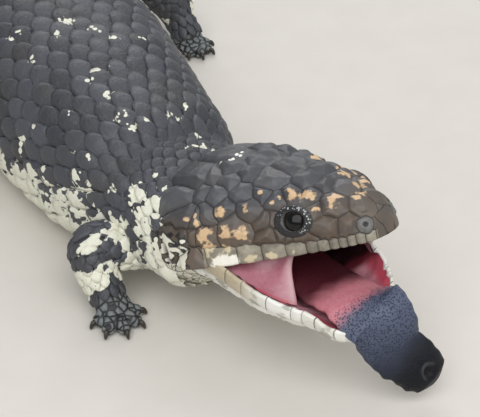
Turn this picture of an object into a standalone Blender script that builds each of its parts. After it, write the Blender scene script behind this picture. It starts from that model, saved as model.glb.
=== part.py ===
# Shingleback skink (bobtail), life size, resting on its belly and gaping, with the blue tongue out.
# The script's lengths are in millimetres, and each mesh is written in metres.
# The trunk heads along -Y, +X is the animal's left and the floor is at Z = 0.
import bmesh
import bpy
import numpy as np

MM = 0.001
GAP = 0.3  # left between pieces that touch
CLEAR = GAP * 1.3  # how far a cutter's skin stands out, so that the thinned skins keep the gap

# Driving sizes
HEAD_LENGTH = 63.0
NECK_END = 10.0  # along the spine from the back of the head
TRUNK_END = 184.0
TAIL_END = 250.0
NECK_BLEND = 36.0  # the section turns from the tilted head's to the trunk's over this length

# Pose, in degrees
HEAD_YAW = 28.0
HEAD_PITCH = 24.0
HEAD_ROLL = 8.0
GAPE = 28.5
JAW_SWING = -11.0  # the open jaw is drawn to the animal's right
JAW_ROLL = 3.0
SNOUT = np.array([0.0, 0.0, 45.0])
HEAD_BACK = np.array([-26.0, 50.1])  # where the spine leaves the head, seen from above

# The spine's heading by distance behind the head, in degrees, positive to the animal's left
SPINE_S = [0, 15, 35, 60, 100, 140, 175, 200, 230, 262]
SPINE_TURN = [20, 14, 6, 2, 0, -2, -6, -12, -22, -34]

# The body's section by distance behind the head: half width, height of the back, height of the belly.
# A belly below the floor is flattened at Z = 0, and is what the animal rests on.
BODY_S = [0, 12, 30, 55, 80, 110, 140, 160, 175, 188, 200, 215, 232, 244, 250]
BODY_HALF = [24, 24.2, 26.8, 31, 34.4, 37, 37, 34, 28.5, 24.5, 23.5, 23, 19.5, 12.5, 5.0]
BODY_BACK = [41, 42, 45.5, 48.5, 50.5, 51, 49.5, 46, 41.5, 37.5, 35.5, 33, 28, 20.5, 15]
BODY_BELLY = [9, 4, 1, -0.6, -0.9, -0.9, -0.9, -0.9, -0.6, 0.6, -0.4, -0.6, 0.4, 4, 8]

# The head by distance behind the snout: height of the crown over the lip line, half width at the lip
HEAD_T = [0, 1.5, 4, 8, 14, 20, 26, 34, 42, 50, 57, 63]
HEAD_TOP = [3.5, 6.2, 8.4, 11.1, 14.2, 16.9, 19.2, 21.6, 23.3, 23.7, 23.3, 22.2]
HEAD_HALF = [1.9, 5.8, 8.3, 11.0, 13.9, 16.4, 18.9, 22.3, 25.2, 26.8, 26.4, 24.4]
LIP_Z = -1.0
PALATE_RISE = 4.0
MOUTH_END = 43.0  # the corner of the mouth
THROAT_T = [0, MOUTH_END - 2, MOUTH_END + 2.5, MOUTH_END + 6, HEAD_LENGTH]
THROAT_DROP = [-2.0, -PALATE_RISE, 6.0, 14.0, 15.5]  # below the lip line, so the palate is negative

# The lower jaw by distance behind its chin: half width at the lip and depth below it
JAW_HALF_T = [0, 1.5, 4, 8, 14, 20, 26, 34, 42, 50, 57, 63]
JAW_HALF = [3.6, 9.4, 12.9, 15.6, 19.2, 21.6, 22.8, 23.1, 23.0, 23.8, 24.0, 23.0]
JAW_DEPTH_T = [0, 2, 8, 20, 35, 50, 63]
JAW_DEPTH = [3, 5.5, 8, 11, 13.5, 15, 16]
JAW_FLOOR = 6.0  # the mouth's floor below the lower lip
JAW_BOW_T = [0, 4, 10, 20, 30, 40, 52, 63]
JAW_BOW = [-1.4, 0.1, 2.3, 2.3, 2.5, 1.9, 0.4, 0.0]  # how far the lower jaw arches up along its length
JAW_PIVOT = np.array([-52.0, 0.0, 1.0])
JAW_REACH = 56.0 / 52.0  # stretch forwards from the joint
JAW_RISE = np.array([0.0, 0.0, 5.0])  # the joint slides up as the mouth opens

# Shares of the triangles kept after a union
HEAD_KEPT, JAW_KEPT, FOOT_KEPT = 0.68, 0.75, 0.8

# Section shapes: 1 is an ellipse, and less is squarer
CROWN_POWER, THROAT_POWER, CHEEK_POWER = 0.85, 0.75, 0.8
CHIN_POWER, FLOOR_POWER = 0.8, 0.6
FLANK_POWER, BACK_POWER, BELLY_POWER = 0.85, 0.9, 0.55
WAIST_SHARE = 0.40  # the trunk's widest level, of the height from belly to back

# Scales that overlap backwards: rows, columns over the back and flanks, how far the free edge stands up
# and reaches back. The belly is smooth.
TORSO_ROWS, TORSO_COLUMNS = 15, 16
TAIL_ROWS, TAIL_COLUMNS = 7, 10
NECK_ROWS, NECK_COLUMNS = 1, 14
SCALED_FROM = np.radians(-36.0)  # the section's angle at the lowest scale on the left flank
BELLY_SAMPLES = 7
SCALE_LIFT = 1.5
SCALE_REACH = 3.4
EDGE_SHARE = 0.35  # how much of the lift is left at a scale's corners

NECK_GAP = 0.45  # across the spine, where the section planes lean
SCALE_STEP = 0.06  # the length of the drop behind a scale's free edge

# Mesh stations along the head and jaw, and points round them
HEAD_STATIONS = [0.3, 1.5, 3.5, 6.5, 10.5, 15, 20, 26, 33, 40, 43.5, 46, 48.5, 51, 56, 63]
HEAD_SAMPLES, THROAT_SAMPLES = 22, 12
JAW_STATIONS = [0.3, 1.5, 3.5, 7, 12, 18, 26, 35, 44, 54]
JAW_SAMPLES, FLOOR_SAMPLES = 14, 8

EYE_RADIUS = 3.9
EYE_PLACE = np.array([-21.5, 13.3, 7.6])  # in the head's frame, for the left eye
EYE_AXIS = np.array([0.16, 0.94, 0.30])
EYE_CLEAR = 8.4  # no shield's centre is nearer to the eye's
LID_RADIUS, LID_THICK, LID_RISE, LID_STRETCH = 4.0, 1.15, 1.4, 1.12
LID_SEGMENTS, LID_SIDES = 14, 5
EYE_RINGS, EYE_SEGMENTS = 9, 14
NOSTRIL, NOSTRIL_DEPTH = np.array([-5.2, 8.3, 3.4]), 1.1
EAR = np.array([-60.0, 24.6, 4.0])
EAR_DEPTH, EAR_HEIGHT = 2.2, 5.0

# Shields on the head: bands by place, number across and length, then cheek plates by place, angle and size
SEED = 7
PLATE_SIDES = 6
PLATE_ROOT = 1.6
PLATE_RISE = 1.1
CROWN_SPAN = 1.9  # radians covered by a band
CROWN_BANDS = [(5.5, 2, 5.0), (12.0, 2, 6.4), (20.0, 3, 7.8), (29.0, 3, 8.4), (38.0, 4, 8.0), (46.5, 5, 7.6),
               (55.5, 6, 8.2)]
CHEEK_PLATES = [(12.0, 27, 6.4, 5.6), (33.0, 30, 7.0, 6.6), (41.0, 32, 7.4, 7.4), (37.0, 16, 7.0, 5.6),
                (45.5, 17, 7.8, 6.8), (53.5, 15, 6.8, 7.4), (49.5, 33, 7.6, 7.4)]
LABIALS, LABIAL_PITCH, LABIAL_ANGLE = 6, 6.4, 0.17
LABIAL_FIRST, LABIAL_LENGTH, LABIAL_WIDTH, LABIAL_RISE = 6.0, 5.5, 4.3, 0.45
LOWER_FIRST, LOWER_ANGLE = 5.0, 0.22
CHIN_BANDS = [(9, 1), (18, 2), (28, 3)]
CHIN_SPREAD, CHIN_LENGTH, CHIN_WIDTH, CHIN_RISE = 0.42, 5.6, 6.4, 0.4

# The tongue: height over the closed jaw's lip line by place, then where it hangs outside, then its section
TONGUE_INSIDE = [(38, -2.6), (28, -2.2), (18, -1.7), (10, -0.2), (4, 0.7), (0, 0.9)]
TONGUE_OUTSIDE = [np.array([-5.1, -14.6, 16.0]), np.array([-1.6, -18.0, 11.6]), np.array([2.6, -20.4, 6.2])]
TONGUE_SHARE = [0, 0.15, 0.5, 0.65, 0.8, 0.93, 1.0]
TONGUE_HALF = [7, 10.5, 10.6, 9.8, 8.2, 6.6, 4.4]
TONGUE_THICK = [4, 5, 5.2, 5.4, 5.8, 5.8, 3.6]
# Past the lip it turns about its own length, in degrees, so its upper face looks aside.
TONGUE_TWIST_SHARE = [0.0, 0.47, 0.64, 1.0]
TONGUE_TWIST = [0, 0, -42, -42]
TONGUE_STATIONS, TONGUE_SIDES = 30, 16

# Legs: joints as distance along the spine, out to the left and height, from the root to the toes' root,
# then the leg's radius at each joint, the foot's heading in degrees and its toes' angles and lengths
LEG_RINGS, LEG_SIDES = 9, 12
FORE_TOES = [(-76, 5.6), (-38, 7.4), (-3, 8.0), (32, 7.4), (70, 6.0)]
HIND_TOES = [(-64, 5.0), (-30, 7.2), (-2, 8.4), (26, 8.2), (62, 6.0)]
FORE_RADII, HIND_RADII = [7.4, 6.8, 4.9], [11.0, 8.0, 5.3]
LIMBS = [
    ("foreleg_right", "forefoot_right", [(14, -14, 15), (20, -33, 18), (13.3, -34.2, 7.5), (9.6, -34.3, 3.2)],
     FORE_RADII, 0, FORE_TOES),
    ("foreleg_left", "forefoot_left", [(14, 14, 15), (24, 34, 17), (14, 42, 7.5), (9.6, 45, 3.2)],
     FORE_RADII, 20, FORE_TOES),
    ("hindleg_right", "hindfoot_right", [(166, -18, 18), (146, -54, 20), (141, -60, 8), (135, -62, 3.2)],
     HIND_RADII, -10, HIND_TOES),
    ("hindleg_left", "hindfoot_left", [(168, 17, 18), (148, 56, 22), (142.5, 60.5, 8), (136.5, 61.5, 3.2)],
     HIND_RADII, 4, HIND_TOES),
]
FOOT_WIDTHS = (0.98, 1.02, 1.15, 0.85)  # of the ankle's radius, from the ankle to the toes' roots
ANKLE_HEIGHTS, SOLE_HEIGHTS = (0.98, 0.8), (3.6, 2.8)
SOLE_LENGTH, FOOT_SIDES = 2.6, 12
TOE_ROOT = 1.5  # from the sole's middle to a toe's root
TOE_RADIUS = 2.2
TOE_SHARES, CLAW_SHARES = (0, 0.4, 0.8, 1.0), (-0.25, 0.4, 0.95)
TOE_HEIGHTS = (2.8, 2.5, 1.9, 1.5)  # of a toe's middle over the floor, from its root to its tip
TOE_SHAPE = (1.0, 1.02, 0.95, 0.7)
CLAW_HEIGHTS, CLAW_SIZES = (1.9, 1.7, 0.5), (1.1, 0.85, 0.2)
SOLE_DEPTH = 0.3  # what lies lower than this is flat on the floor
TOE_SIDES, CLAW_SIDES = 7, 5
CLAW_LENGTH = 2.8


def smooth_curve(x, xs, ys):
    """Monotone cubic through the points (xs, ys), read at x."""
    xs, ys = np.asarray(xs, float), np.asarray(ys, float)
    h = np.diff(xs)
    d = np.diff(ys) / h
    m = np.zeros(len(xs))
    m[0], m[-1] = d[0], d[-1]
    same = d[:-1] * d[1:] > 0
    w1, w2 = 2 * h[1:] + h[:-1], h[1:] + 2 * h[:-1]
    with np.errstate(divide="ignore", invalid="ignore"):
        inner = (w1 + w2) / (w1 / d[:-1] + w2 / d[1:])
    m[1:-1] = np.where(same, inner, 0.0)
    x = np.clip(np.asarray(x, float), xs[0], xs[-1])
    i = np.clip(np.searchsorted(xs, x, side="right") - 1, 0, len(h) - 1)
    t = (x - xs[i]) / h[i]
    a, b = (1 + 2 * t) * (1 - t) ** 2, t * (1 - t) ** 2
    c, e = t * t * (3 - 2 * t), t * t * (t - 1)
    return a * ys[i] + b * h[i] * m[i] + c * ys[i + 1] + e * h[i] * m[i + 1]


def power(value, exponent):
    """Signed power, which squares up a circle into a superellipse."""
    return np.sign(value) * np.abs(value) ** exponent


def smooth_step(x):
    x = np.clip(x, 0.0, 1.0)
    return x * x * (3 - 2 * x)


def unit(v):
    return v / np.linalg.norm(v, axis=-1, keepdims=True)


def head_axes():
    """The head's forward, left and up directions, as columns."""
    yaw, pitch, roll = np.radians([HEAD_YAW, HEAD_PITCH, HEAD_ROLL])
    forward = np.array([np.sin(yaw) * np.cos(pitch), -np.cos(yaw) * np.cos(pitch), np.sin(pitch)])
    level = np.array([np.cos(yaw), np.sin(yaw), 0.0])
    upright = np.cross(forward, level)
    left = level * np.cos(roll) - upright * np.sin(roll)
    up = upright * np.cos(roll) + level * np.sin(roll)
    return np.stack([forward, left, up], 1)


HEAD_AXES = head_axes()


def from_head(points):
    """Points in the head's own frame, moved to the row frame."""
    return points @ HEAD_AXES.T + SNOUT


def opened(points):
    """Points of the closed jaw in the head's frame: swung to the side, rolled, then down about its joint."""
    swing, roll, gape = np.radians([JAW_SWING, JAW_ROLL, GAPE])
    x, y, z = np.moveaxis(points - JAW_PIVOT, -1, 0)
    x = x * JAW_REACH
    x, y = x * np.cos(swing) - y * np.sin(swing), x * np.sin(swing) + y * np.cos(swing)
    y, z = y * np.cos(roll) - z * np.sin(roll), y * np.sin(roll) + z * np.cos(roll)
    x, z = x * np.cos(gape) + z * np.sin(gape), z * np.cos(gape) - x * np.sin(gape)
    return np.stack([x, y, z], -1) + JAW_PIVOT + JAW_RISE


def spine_table():
    s = np.linspace(0, SPINE_S[-1], 512)
    turn = np.radians(smooth_curve(s, SPINE_S, SPINE_TURN))
    step = np.stack([-np.sin(turn), np.cos(turn)], 1)
    moved = (step[1:] + step[:-1]) / 2 * np.diff(s)[:, None]
    place = HEAD_BACK + np.vstack([np.zeros(2), np.cumsum(moved, 0)])
    return s, turn, place


SPINE = spine_table()


def spine_at(s):
    table_s, turn, place = SPINE
    x = np.interp(s, table_s, place[:, 0])
    y = np.interp(s, table_s, place[:, 1])
    return x, y, np.interp(s, table_s, turn)


def head_surface(t, angle, lift=0.0):
    """The head in its own frame: t behind the snout, angle 0 at the right lip and 90 degrees on the crown."""
    half = smooth_curve(t, HEAD_T, HEAD_HALF) + lift
    top = smooth_curve(t, HEAD_T, HEAD_TOP) + lift
    drop = smooth_curve(t, THROAT_T, THROAT_DROP)
    c, n = np.cos(angle), np.sin(angle)
    rise = np.where(n > 0, (top - LIP_Z) * power(n, CROWN_POWER), drop * power(n, THROAT_POWER))
    return np.stack([-t + 0 * c, -half * power(c, CHEEK_POWER), LIP_Z + rise], -1)


def jaw_surface(t, angle, lift=0.0):
    """The closed lower jaw: angle 0 at the right lip, 90 degrees under the chin, 270 on the mouth's floor."""
    half = smooth_curve(t, JAW_HALF_T, JAW_HALF) + lift
    depth = smooth_curve(t, JAW_DEPTH_T, JAW_DEPTH) + lift
    floor = JAW_FLOOR * smooth_step(np.asarray(t) / 6.0)
    c, n = np.cos(angle), np.sin(angle)
    drop = np.where(n > 0, depth * power(n, CHIN_POWER), floor * np.abs(n) ** FLOOR_POWER)
    bow = smooth_curve(t, JAW_BOW_T, JAW_BOW)
    return np.stack([-t + 0 * c, -half * power(c, CHEEK_POWER), LIP_Z + bow - drop], -1)


def head_skin(t, angle, lift=0.0):
    return from_head(head_surface(t, angle, lift))


def jaw_skin(t, angle, lift=0.0):
    return from_head(opened(jaw_surface(t, angle, lift)))


def body_skin(s, angle, lift=0.0):
    """Neck, trunk and tail: s along the spine, angle 0 at the animal's left and 90 degrees on the back.

    The section at s = 0 is the tilted one at the back of the head."""
    x, y, turn = spine_at(s)
    half = smooth_curve(s, BODY_S, BODY_HALF)
    back = smooth_curve(s, BODY_S, BODY_BACK)
    belly = smooth_curve(s, BODY_S, BODY_BELLY)
    waist = belly + (back - belly) * WAIST_SHARE
    c, n = np.cos(angle), np.sin(angle)
    side = (half + lift) * power(c, FLANK_POWER)
    above = (back + lift - waist) * power(n, BACK_POWER)
    rise = np.where(n > 0, above, (waist - belly) * power(n, BELLY_POWER))
    trunk = np.stack([x + side * np.cos(turn), y + side * np.sin(turn), waist + rise], -1)
    moved = np.stack([x - HEAD_BACK[0], y - HEAD_BACK[1], 0 * x], -1)
    nape = head_skin(HEAD_LENGTH, np.pi - angle, lift) + moved
    share = smooth_step(np.asarray(s) / NECK_BLEND)[..., None]
    skin = trunk * share + nape * (1 - share)
    skin[..., 2] = np.maximum(skin[..., 2], 0.0)
    return skin


def body_place(s, out, height):
    """A point beside the spine: out to the animal's left, and height above the floor."""
    x, y, turn = spine_at(s)
    return np.array([x + out * np.cos(turn), y + out * np.sin(turn), height])


def make_material(name, colour, roughness):
    material = bpy.data.materials.new(name)
    material.use_nodes = True
    shader = material.node_tree.nodes["Principled BSDF"]
    shader.inputs["Base Color"].default_value = (*colour, 1.0)
    shader.inputs["Roughness"].default_value = roughness
    shader.inputs["Metallic"].default_value = 0.0
    return material


def add_object(name, points, faces, material=None):
    mesh = bpy.data.meshes.new(name)
    mesh.from_pydata((np.asarray(points) * MM).tolist(), [], faces)
    mesh.update()
    obj = bpy.data.objects.new(name, mesh)
    bpy.context.scene.collection.objects.link(obj)
    if material is not None:
        mesh.materials.append(material)
    return obj


def loft(name, rings, material=None):
    """A closed body through rings of equal counts, with a fan of triangles at each end."""
    rings = [np.asarray(ring, float) for ring in rings]
    n = len(rings[0])
    points = np.vstack(rings + [rings[0].mean(0)[None], rings[-1].mean(0)[None]])
    first, last = len(rings) * n, len(rings) * n + 1
    faces = []
    for k in range(len(rings) - 1):
        for j in range(n):
            a, b = k * n + j, k * n + (j + 1) % n
            faces += [(a, b, b + n), (a, b + n, a + n)]
    end = (len(rings) - 1) * n
    for j in range(n):
        faces.append((first, (j + 1) % n, j))
        faces.append((last, end + j, end + (j + 1) % n))
    corners = points[np.array(faces)]
    if np.linalg.det(corners).sum() < 0:
        faces = [face[::-1] for face in faces]
    return add_object(name, points, faces, material)


def apply_modifiers(obj):
    graph = bpy.context.evaluated_depsgraph_get()
    made = bpy.data.meshes.new_from_object(obj.evaluated_get(graph))
    obj.modifiers.clear()
    obj.data = made


def keep_largest(obj):
    """Keeps the closed surface with the largest box, which drops loose scraps and fills sealed hollows."""
    model = bmesh.new()
    model.from_mesh(obj.data)
    unseen, shells = set(model.verts), []
    while unseen:
        stack = [unseen.pop()]
        shell = list(stack)
        while stack:
            for edge in stack.pop().link_edges:
                for vertex in edge.verts:
                    if vertex in unseen:
                        unseen.discard(vertex)
                        stack.append(vertex)
                        shell.append(vertex)
        shells.append(shell)
    if len(shells) > 1:
        shells.sort(key=lambda shell: np.prod(np.ptp([vertex.co[:] for vertex in shell], axis=0)))
        for shell in shells[:-1]:
            bmesh.ops.delete(model, geom=shell, context="VERTS")
        model.to_mesh(obj.data)
    model.free()


def join(target, pieces, kept):
    """Fuses the pieces into the target by one union, and thins the triangles to this share of them."""
    group = bpy.data.collections.new(target.name + "_pieces")
    for piece in pieces:
        group.objects.link(piece)
    union = target.modifiers.new("Join", "BOOLEAN")
    union.operation = "UNION"
    union.operand_type = "COLLECTION"
    union.collection = group
    union.solver = "MANIFOLD"
    apply_modifiers(target)
    for piece in pieces:
        bpy.data.objects.remove(piece)
    bpy.data.collections.remove(group)
    keep_largest(target)
    thinner = target.modifiers.new("Thin", "DECIMATE")
    thinner.ratio = kept
    apply_modifiers(target)


def cut(target, cutter):
    carve = target.modifiers.new("Cut", "BOOLEAN")
    carve.operation = "DIFFERENCE"
    carve.object = cutter
    carve.solver = "MANIFOLD"
    apply_modifiers(target)
    bpy.data.objects.remove(cutter)
    keep_largest(target)


def swollen(obj, by):
    """A copy of the object whose skin stands out by this much, for cutting its neighbour clear of it."""
    mesh = obj.data.copy()
    places = np.array([vertex.co[:] for vertex in mesh.vertices])
    normals = np.array([vertex.normal[:] for vertex in mesh.vertices])
    mesh.vertices.foreach_set("co", (places + normals * by * MM).ravel())
    mesh.update()
    copy = bpy.data.objects.new(obj.name + "_swollen", mesh)
    bpy.context.scene.collection.objects.link(copy)
    return copy


def shingled_rings(skin, start, end, rows, columns):
    """Rings of a skin of overlapping scales, each row's back edge raised and scalloped."""
    scaled = np.arange(columns * 4)
    span = np.pi - 2 * SCALED_FROM
    belly = np.linspace(np.pi - SCALED_FROM, 2 * np.pi + SCALED_FROM, BELLY_SAMPLES, endpoint=False)
    angle = np.concatenate([SCALED_FROM + scaled * span / len(scaled), belly])
    column = np.concatenate([scaled / 4, np.full(BELLY_SAMPLES, 0.5)])
    share = scale_share(angle)
    pitch = (end - start) / rows
    rings, scallop = [], 0 * angle
    for row in range(rows):
        rings.append(skin(start + row * pitch + scallop, angle, 0 * angle))
        across = (column + 0.5 * (row % 2)) % 1.0 - 0.5
        crown = 1 - (2 * across) ** 2
        scallop = SCALE_REACH * crown * share * (row < rows - 1)
        high = SCALE_LIFT * (EDGE_SHARE + (1 - EDGE_SHARE) * crown) * share
        rings.append(skin(start + (row + 1) * pitch + scallop - SCALE_STEP, angle, high))
    return rings


def scale_share(angle):
    """1 on the back and flanks and 0 on the belly."""
    return smooth_step((np.sin(angle) + 0.75) / 0.5)


def plate(skin, t, angle, length, width, rise, outwards):
    """A low dome on the skin: length along t, width round it. Its root is sunk well in."""
    reach = 0.5
    step = 0.02
    sideways = (skin(t, np.array(angle + step)) - skin(t, np.array(angle - step))) / (2 * step)
    around = np.linalg.norm(sideways)
    turn = (np.arange(PLATE_SIDES) + 0.5) * 2 * np.pi / PLATE_SIDES
    u = power(np.cos(turn), 0.7) * length / 2
    v = power(np.sin(turn), 0.7) * width / 2 / around
    rings = []
    for share, height in ((0.85, -PLATE_ROOT), (1.0, rise * 0.25), (0.7, rise)):
        tt, aa = t + u * share, angle + v * share
        along = skin(tt + reach, aa) - skin(tt - reach, aa)
        across = skin(tt, aa + step) - skin(tt, aa - step)
        rings.append(skin(tt, aa) + unit(np.cross(along, across)) * outwards * height)
    return loft("plate", rings)


def ball(name, centre, radius, axis, squash, rings, segments, material=None):
    """A closed ball, flattened by squash along the axis."""
    axis = unit(np.asarray(axis, float))
    side = unit(np.cross(axis, (0.3, 0.5, 0.8)))
    other = np.cross(axis, side)
    turn = np.arange(segments) * 2 * np.pi / segments
    flat = np.outer(np.cos(turn), side) + np.outer(np.sin(turn), other)
    polar = np.linspace(0.15, np.pi - 0.15, rings)
    hoops = [centre + radius * (np.sin(a) * flat + squash * np.cos(a) * axis) for a in polar]
    return loft(name, hoops, material)


def hoop(name, centre, radius, thick, axis, stretch):
    """A closed ring round the axis, such as an eye's lids."""
    axis = unit(np.asarray(axis, float))
    side = unit(HEAD_AXES[:, 0] - axis * (HEAD_AXES[:, 0] @ axis))
    other = np.cross(axis, side)
    points, faces = [], []
    for k in range(LID_SEGMENTS):
        a = k * 2 * np.pi / LID_SEGMENTS
        spoke = np.cos(a) * side * stretch + np.sin(a) * other
        for j in range(LID_SIDES):
            b = j * 2 * np.pi / LID_SIDES
            points.append(centre + spoke * (radius + thick * np.cos(b)) + axis * thick * np.sin(b))
    for k in range(LID_SEGMENTS):
        for j in range(LID_SIDES):
            a, b = k * LID_SIDES + j, k * LID_SIDES + (j + 1) % LID_SIDES
            c, d = (a + LID_SIDES) % len(points), (b + LID_SIDES) % len(points)
            faces += [(a, c, d), (a, d, b)]
    corners = np.array(points)[np.array(faces)] - centre
    if np.linalg.det(corners).sum() < 0:
        faces = [face[::-1] for face in faces]
    return add_object(name, points, faces)


def tube_rings(path, tangents, widths, heights, left, sides, twists=None):
    """Rings of an oval tube along the path. Points below the floor are flattened onto it."""
    angle = np.arange(sides) * 2 * np.pi / sides
    twists = np.zeros(len(path)) if twists is None else twists
    rings = []
    for centre, along, width, height, twist in zip(path, tangents, widths, heights, twists):
        left = unit(left - along * (left @ along))
        up = np.cross(left, along)
        side = np.cos(twist) * left + np.sin(twist) * up
        top = np.cross(side, along)
        ring = centre + np.outer(np.cos(angle) * width, side) + np.outer(np.sin(angle) * height, top)
        ring[:, 2] = np.maximum(ring[:, 2], 0.0)
        rings.append(ring)
    return rings


def smooth_path(points, count):
    """The points joined by a smooth curve, read at even steps."""
    points = np.asarray(points, float)
    way = np.concatenate([[0], np.cumsum(np.linalg.norm(np.diff(points, axis=0), axis=1))])
    at = np.linspace(0, way[-1], count)
    return np.stack([smooth_curve(at, way, points[:, k]) for k in range(3)], 1), at / way[-1]


def build_head(hide, eye_material):
    rings = []
    for t in HEAD_STATIONS:
        crown = np.linspace(0, np.pi, HEAD_SAMPLES, endpoint=False)
        under = np.linspace(np.pi, 2 * np.pi, THROAT_SAMPLES, endpoint=False)
        rings.append(head_skin(t, np.concatenate([crown, under])))
    head = loft("head", rings, hide)
    pieces = head_shields()
    for side in (-1, 1):
        centre, axis = eye_centre(side), eye_axis(side)
        pieces.append(hoop("lid", centre + axis * LID_RISE, LID_RADIUS, LID_THICK, axis, LID_STRETCH))
    join(head, pieces, HEAD_KEPT)
    for side in (-1, 1):
        centre, axis = eye_centre(side), eye_axis(side)
        cut(head, ball("socket", centre, EYE_RADIUS + GAP, axis, 1.0, EYE_RINGS, EYE_SEGMENTS))
        nostril = from_head(NOSTRIL * [1, side, 1])
        cut(head, ball("nostril", nostril, NOSTRIL_DEPTH, HEAD_AXES[:, 0], 1.2, 5, 8))
        ear = from_head(EAR * [1, side, 1])
        cut(head, ball("ear", ear, EAR_DEPTH, HEAD_AXES[:, 2], EAR_HEIGHT / EAR_DEPTH, 7, 10))
    for side, name in ((-1, "eye_right"), (1, "eye_left")):
        ball(name, eye_centre(side), EYE_RADIUS, eye_axis(side), 1.0, EYE_RINGS, EYE_SEGMENTS, eye_material)
    return head


def eye_centre(side):
    return from_head(EYE_PLACE * [1, side, 1])


def eye_axis(side):
    return HEAD_AXES @ (EYE_AXIS * [1, side, 1])


def head_shields():
    """Raised shields in bands across the crown, cheek plates behind the eyes and labials along the lips."""
    draw = np.random.default_rng(SEED)
    pieces = []
    for t, count, length in CROWN_BANDS:
        half = float(smooth_curve(t, HEAD_T, HEAD_HALF))
        for k in range(count):
            angle = np.pi / 2 + (k - (count - 1) / 2) * CROWN_SPAN / max(count, 3)
            where = t + draw.uniform(-0.5, 0.5)
            point = head_surface(where, np.array(angle))
            eye = EYE_PLACE * [1, np.sign(point[1]), 1]
            if np.linalg.norm(point - eye) < EYE_CLEAR:
                continue
            width = CROWN_SPAN / max(count, 3) * half * 0.92
            rise = PLATE_RISE * draw.uniform(0.8, 1.2)
            pieces.append(plate(head_skin, where, angle, length, width, rise, -1))
    for t, angle, length, width in CHEEK_PLATES:
        for side in (0, 1):
            placed = np.pi - np.radians(angle) if side else np.radians(angle)
            rise = PLATE_RISE * draw.uniform(0.8, 1.2)
            pieces.append(plate(head_skin, t, placed, length, width, rise, -1))
    for k in range(LABIALS):
        t = LABIAL_FIRST + k * LABIAL_PITCH
        for placed in (LABIAL_ANGLE, np.pi - LABIAL_ANGLE):
            pieces.append(plate(head_skin, t, placed, LABIAL_LENGTH, LABIAL_WIDTH, LABIAL_RISE, -1))
    return pieces


def build_jaw(head, hide):
    rings = []
    for t in JAW_STATIONS:
        under = np.linspace(0, np.pi, JAW_SAMPLES, endpoint=False)
        floor = np.linspace(np.pi, 2 * np.pi, FLOOR_SAMPLES, endpoint=False)
        rings.append(jaw_skin(t, np.concatenate([under, floor])))
    jaw = loft("lower_jaw", rings, hide)
    plates = []
    for k in range(LABIALS - 1):
        t = LOWER_FIRST + k * LABIAL_PITCH
        for placed in (LOWER_ANGLE, np.pi - LOWER_ANGLE):
            plates.append(plate(jaw_skin, t, placed, LABIAL_LENGTH, LABIAL_WIDTH, LABIAL_RISE, 1))
    for t, count in CHIN_BANDS:
        for k in range(count):
            angle = np.pi / 2 + (k - (count - 1) / 2) * CHIN_SPREAD
            plates.append(plate(jaw_skin, t, angle, CHIN_LENGTH, CHIN_WIDTH, CHIN_RISE, 1))
    join(jaw, plates, JAW_KEPT)
    cut(jaw, swollen(head, CLEAR))
    return jaw


def build_tongue(head, jaw, wet):
    """It lies along the mouth's floor, passes over the lower lip and droops in front of the chin."""
    inside = [from_head(opened(np.array([-t, 0.0, z]))) for t, z in TONGUE_INSIDE]
    path, share = smooth_path(inside + TONGUE_OUTSIDE, TONGUE_STATIONS)
    width = smooth_curve(share, TONGUE_SHARE, TONGUE_HALF)
    height = smooth_curve(share, TONGUE_SHARE, TONGUE_THICK) / 2
    tangents = unit(np.gradient(path, axis=0))
    twist = np.radians(smooth_curve(share, TONGUE_TWIST_SHARE, TONGUE_TWIST))
    rings = tube_rings(path, tangents, width, height, HEAD_AXES[:, 1], TONGUE_SIDES, twist)
    tongue = loft("tongue", rings, wet)
    cut(tongue, swollen(jaw, CLEAR))
    cut(tongue, swollen(head, CLEAR))
    return tongue


def build_body(hide):
    """Neck, torso and tail, parted by gaps across the spine."""
    parts = []
    for name, start, end, rows, columns in (
        ("neck", NECK_GAP, NECK_END, NECK_ROWS, NECK_COLUMNS),
        ("torso", NECK_END + NECK_GAP, TRUNK_END, TORSO_ROWS, TORSO_COLUMNS),
        ("tail", TRUNK_END + NECK_GAP, TAIL_END, TAIL_ROWS, TAIL_COLUMNS),
    ):
        parts.append(loft(name, shingled_rings(body_skin, start, end, rows, columns), hide))
    return parts


def build_limb(name, foot_name, joints, radii, heading, toes, neighbours, hide):
    """A leg from inside the torso to its ankle, and a foot with five short toes and claws."""
    joints = [body_place(*joint) for joint in joints]
    path, share = smooth_path(joints, 40)
    tangents = unit(np.gradient(path, axis=0))
    ankle = int(np.argmin(np.linalg.norm(path - joints[2], axis=1)))
    knee = int(np.argmin(np.linalg.norm(path - joints[1], axis=1)))
    picked = np.linspace(0, ankle, LEG_RINGS).round().astype(int)
    sizes = smooth_curve(share, [0, share[knee], share[ankle]], radii)
    aim = np.radians(heading)
    ahead = np.array([np.sin(aim), -np.cos(aim), 0.0])
    rings = tube_rings(path[picked], tangents[picked], sizes[picked], sizes[picked], ahead, LEG_SIDES)
    leg = loft(name, rings, hide)
    for neighbour in neighbours:
        cut(leg, swollen(neighbour, CLEAR))
    build_foot(foot_name, path[ankle:], tangents[ankle:], radii[-1], ahead, toes, hide)


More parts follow.
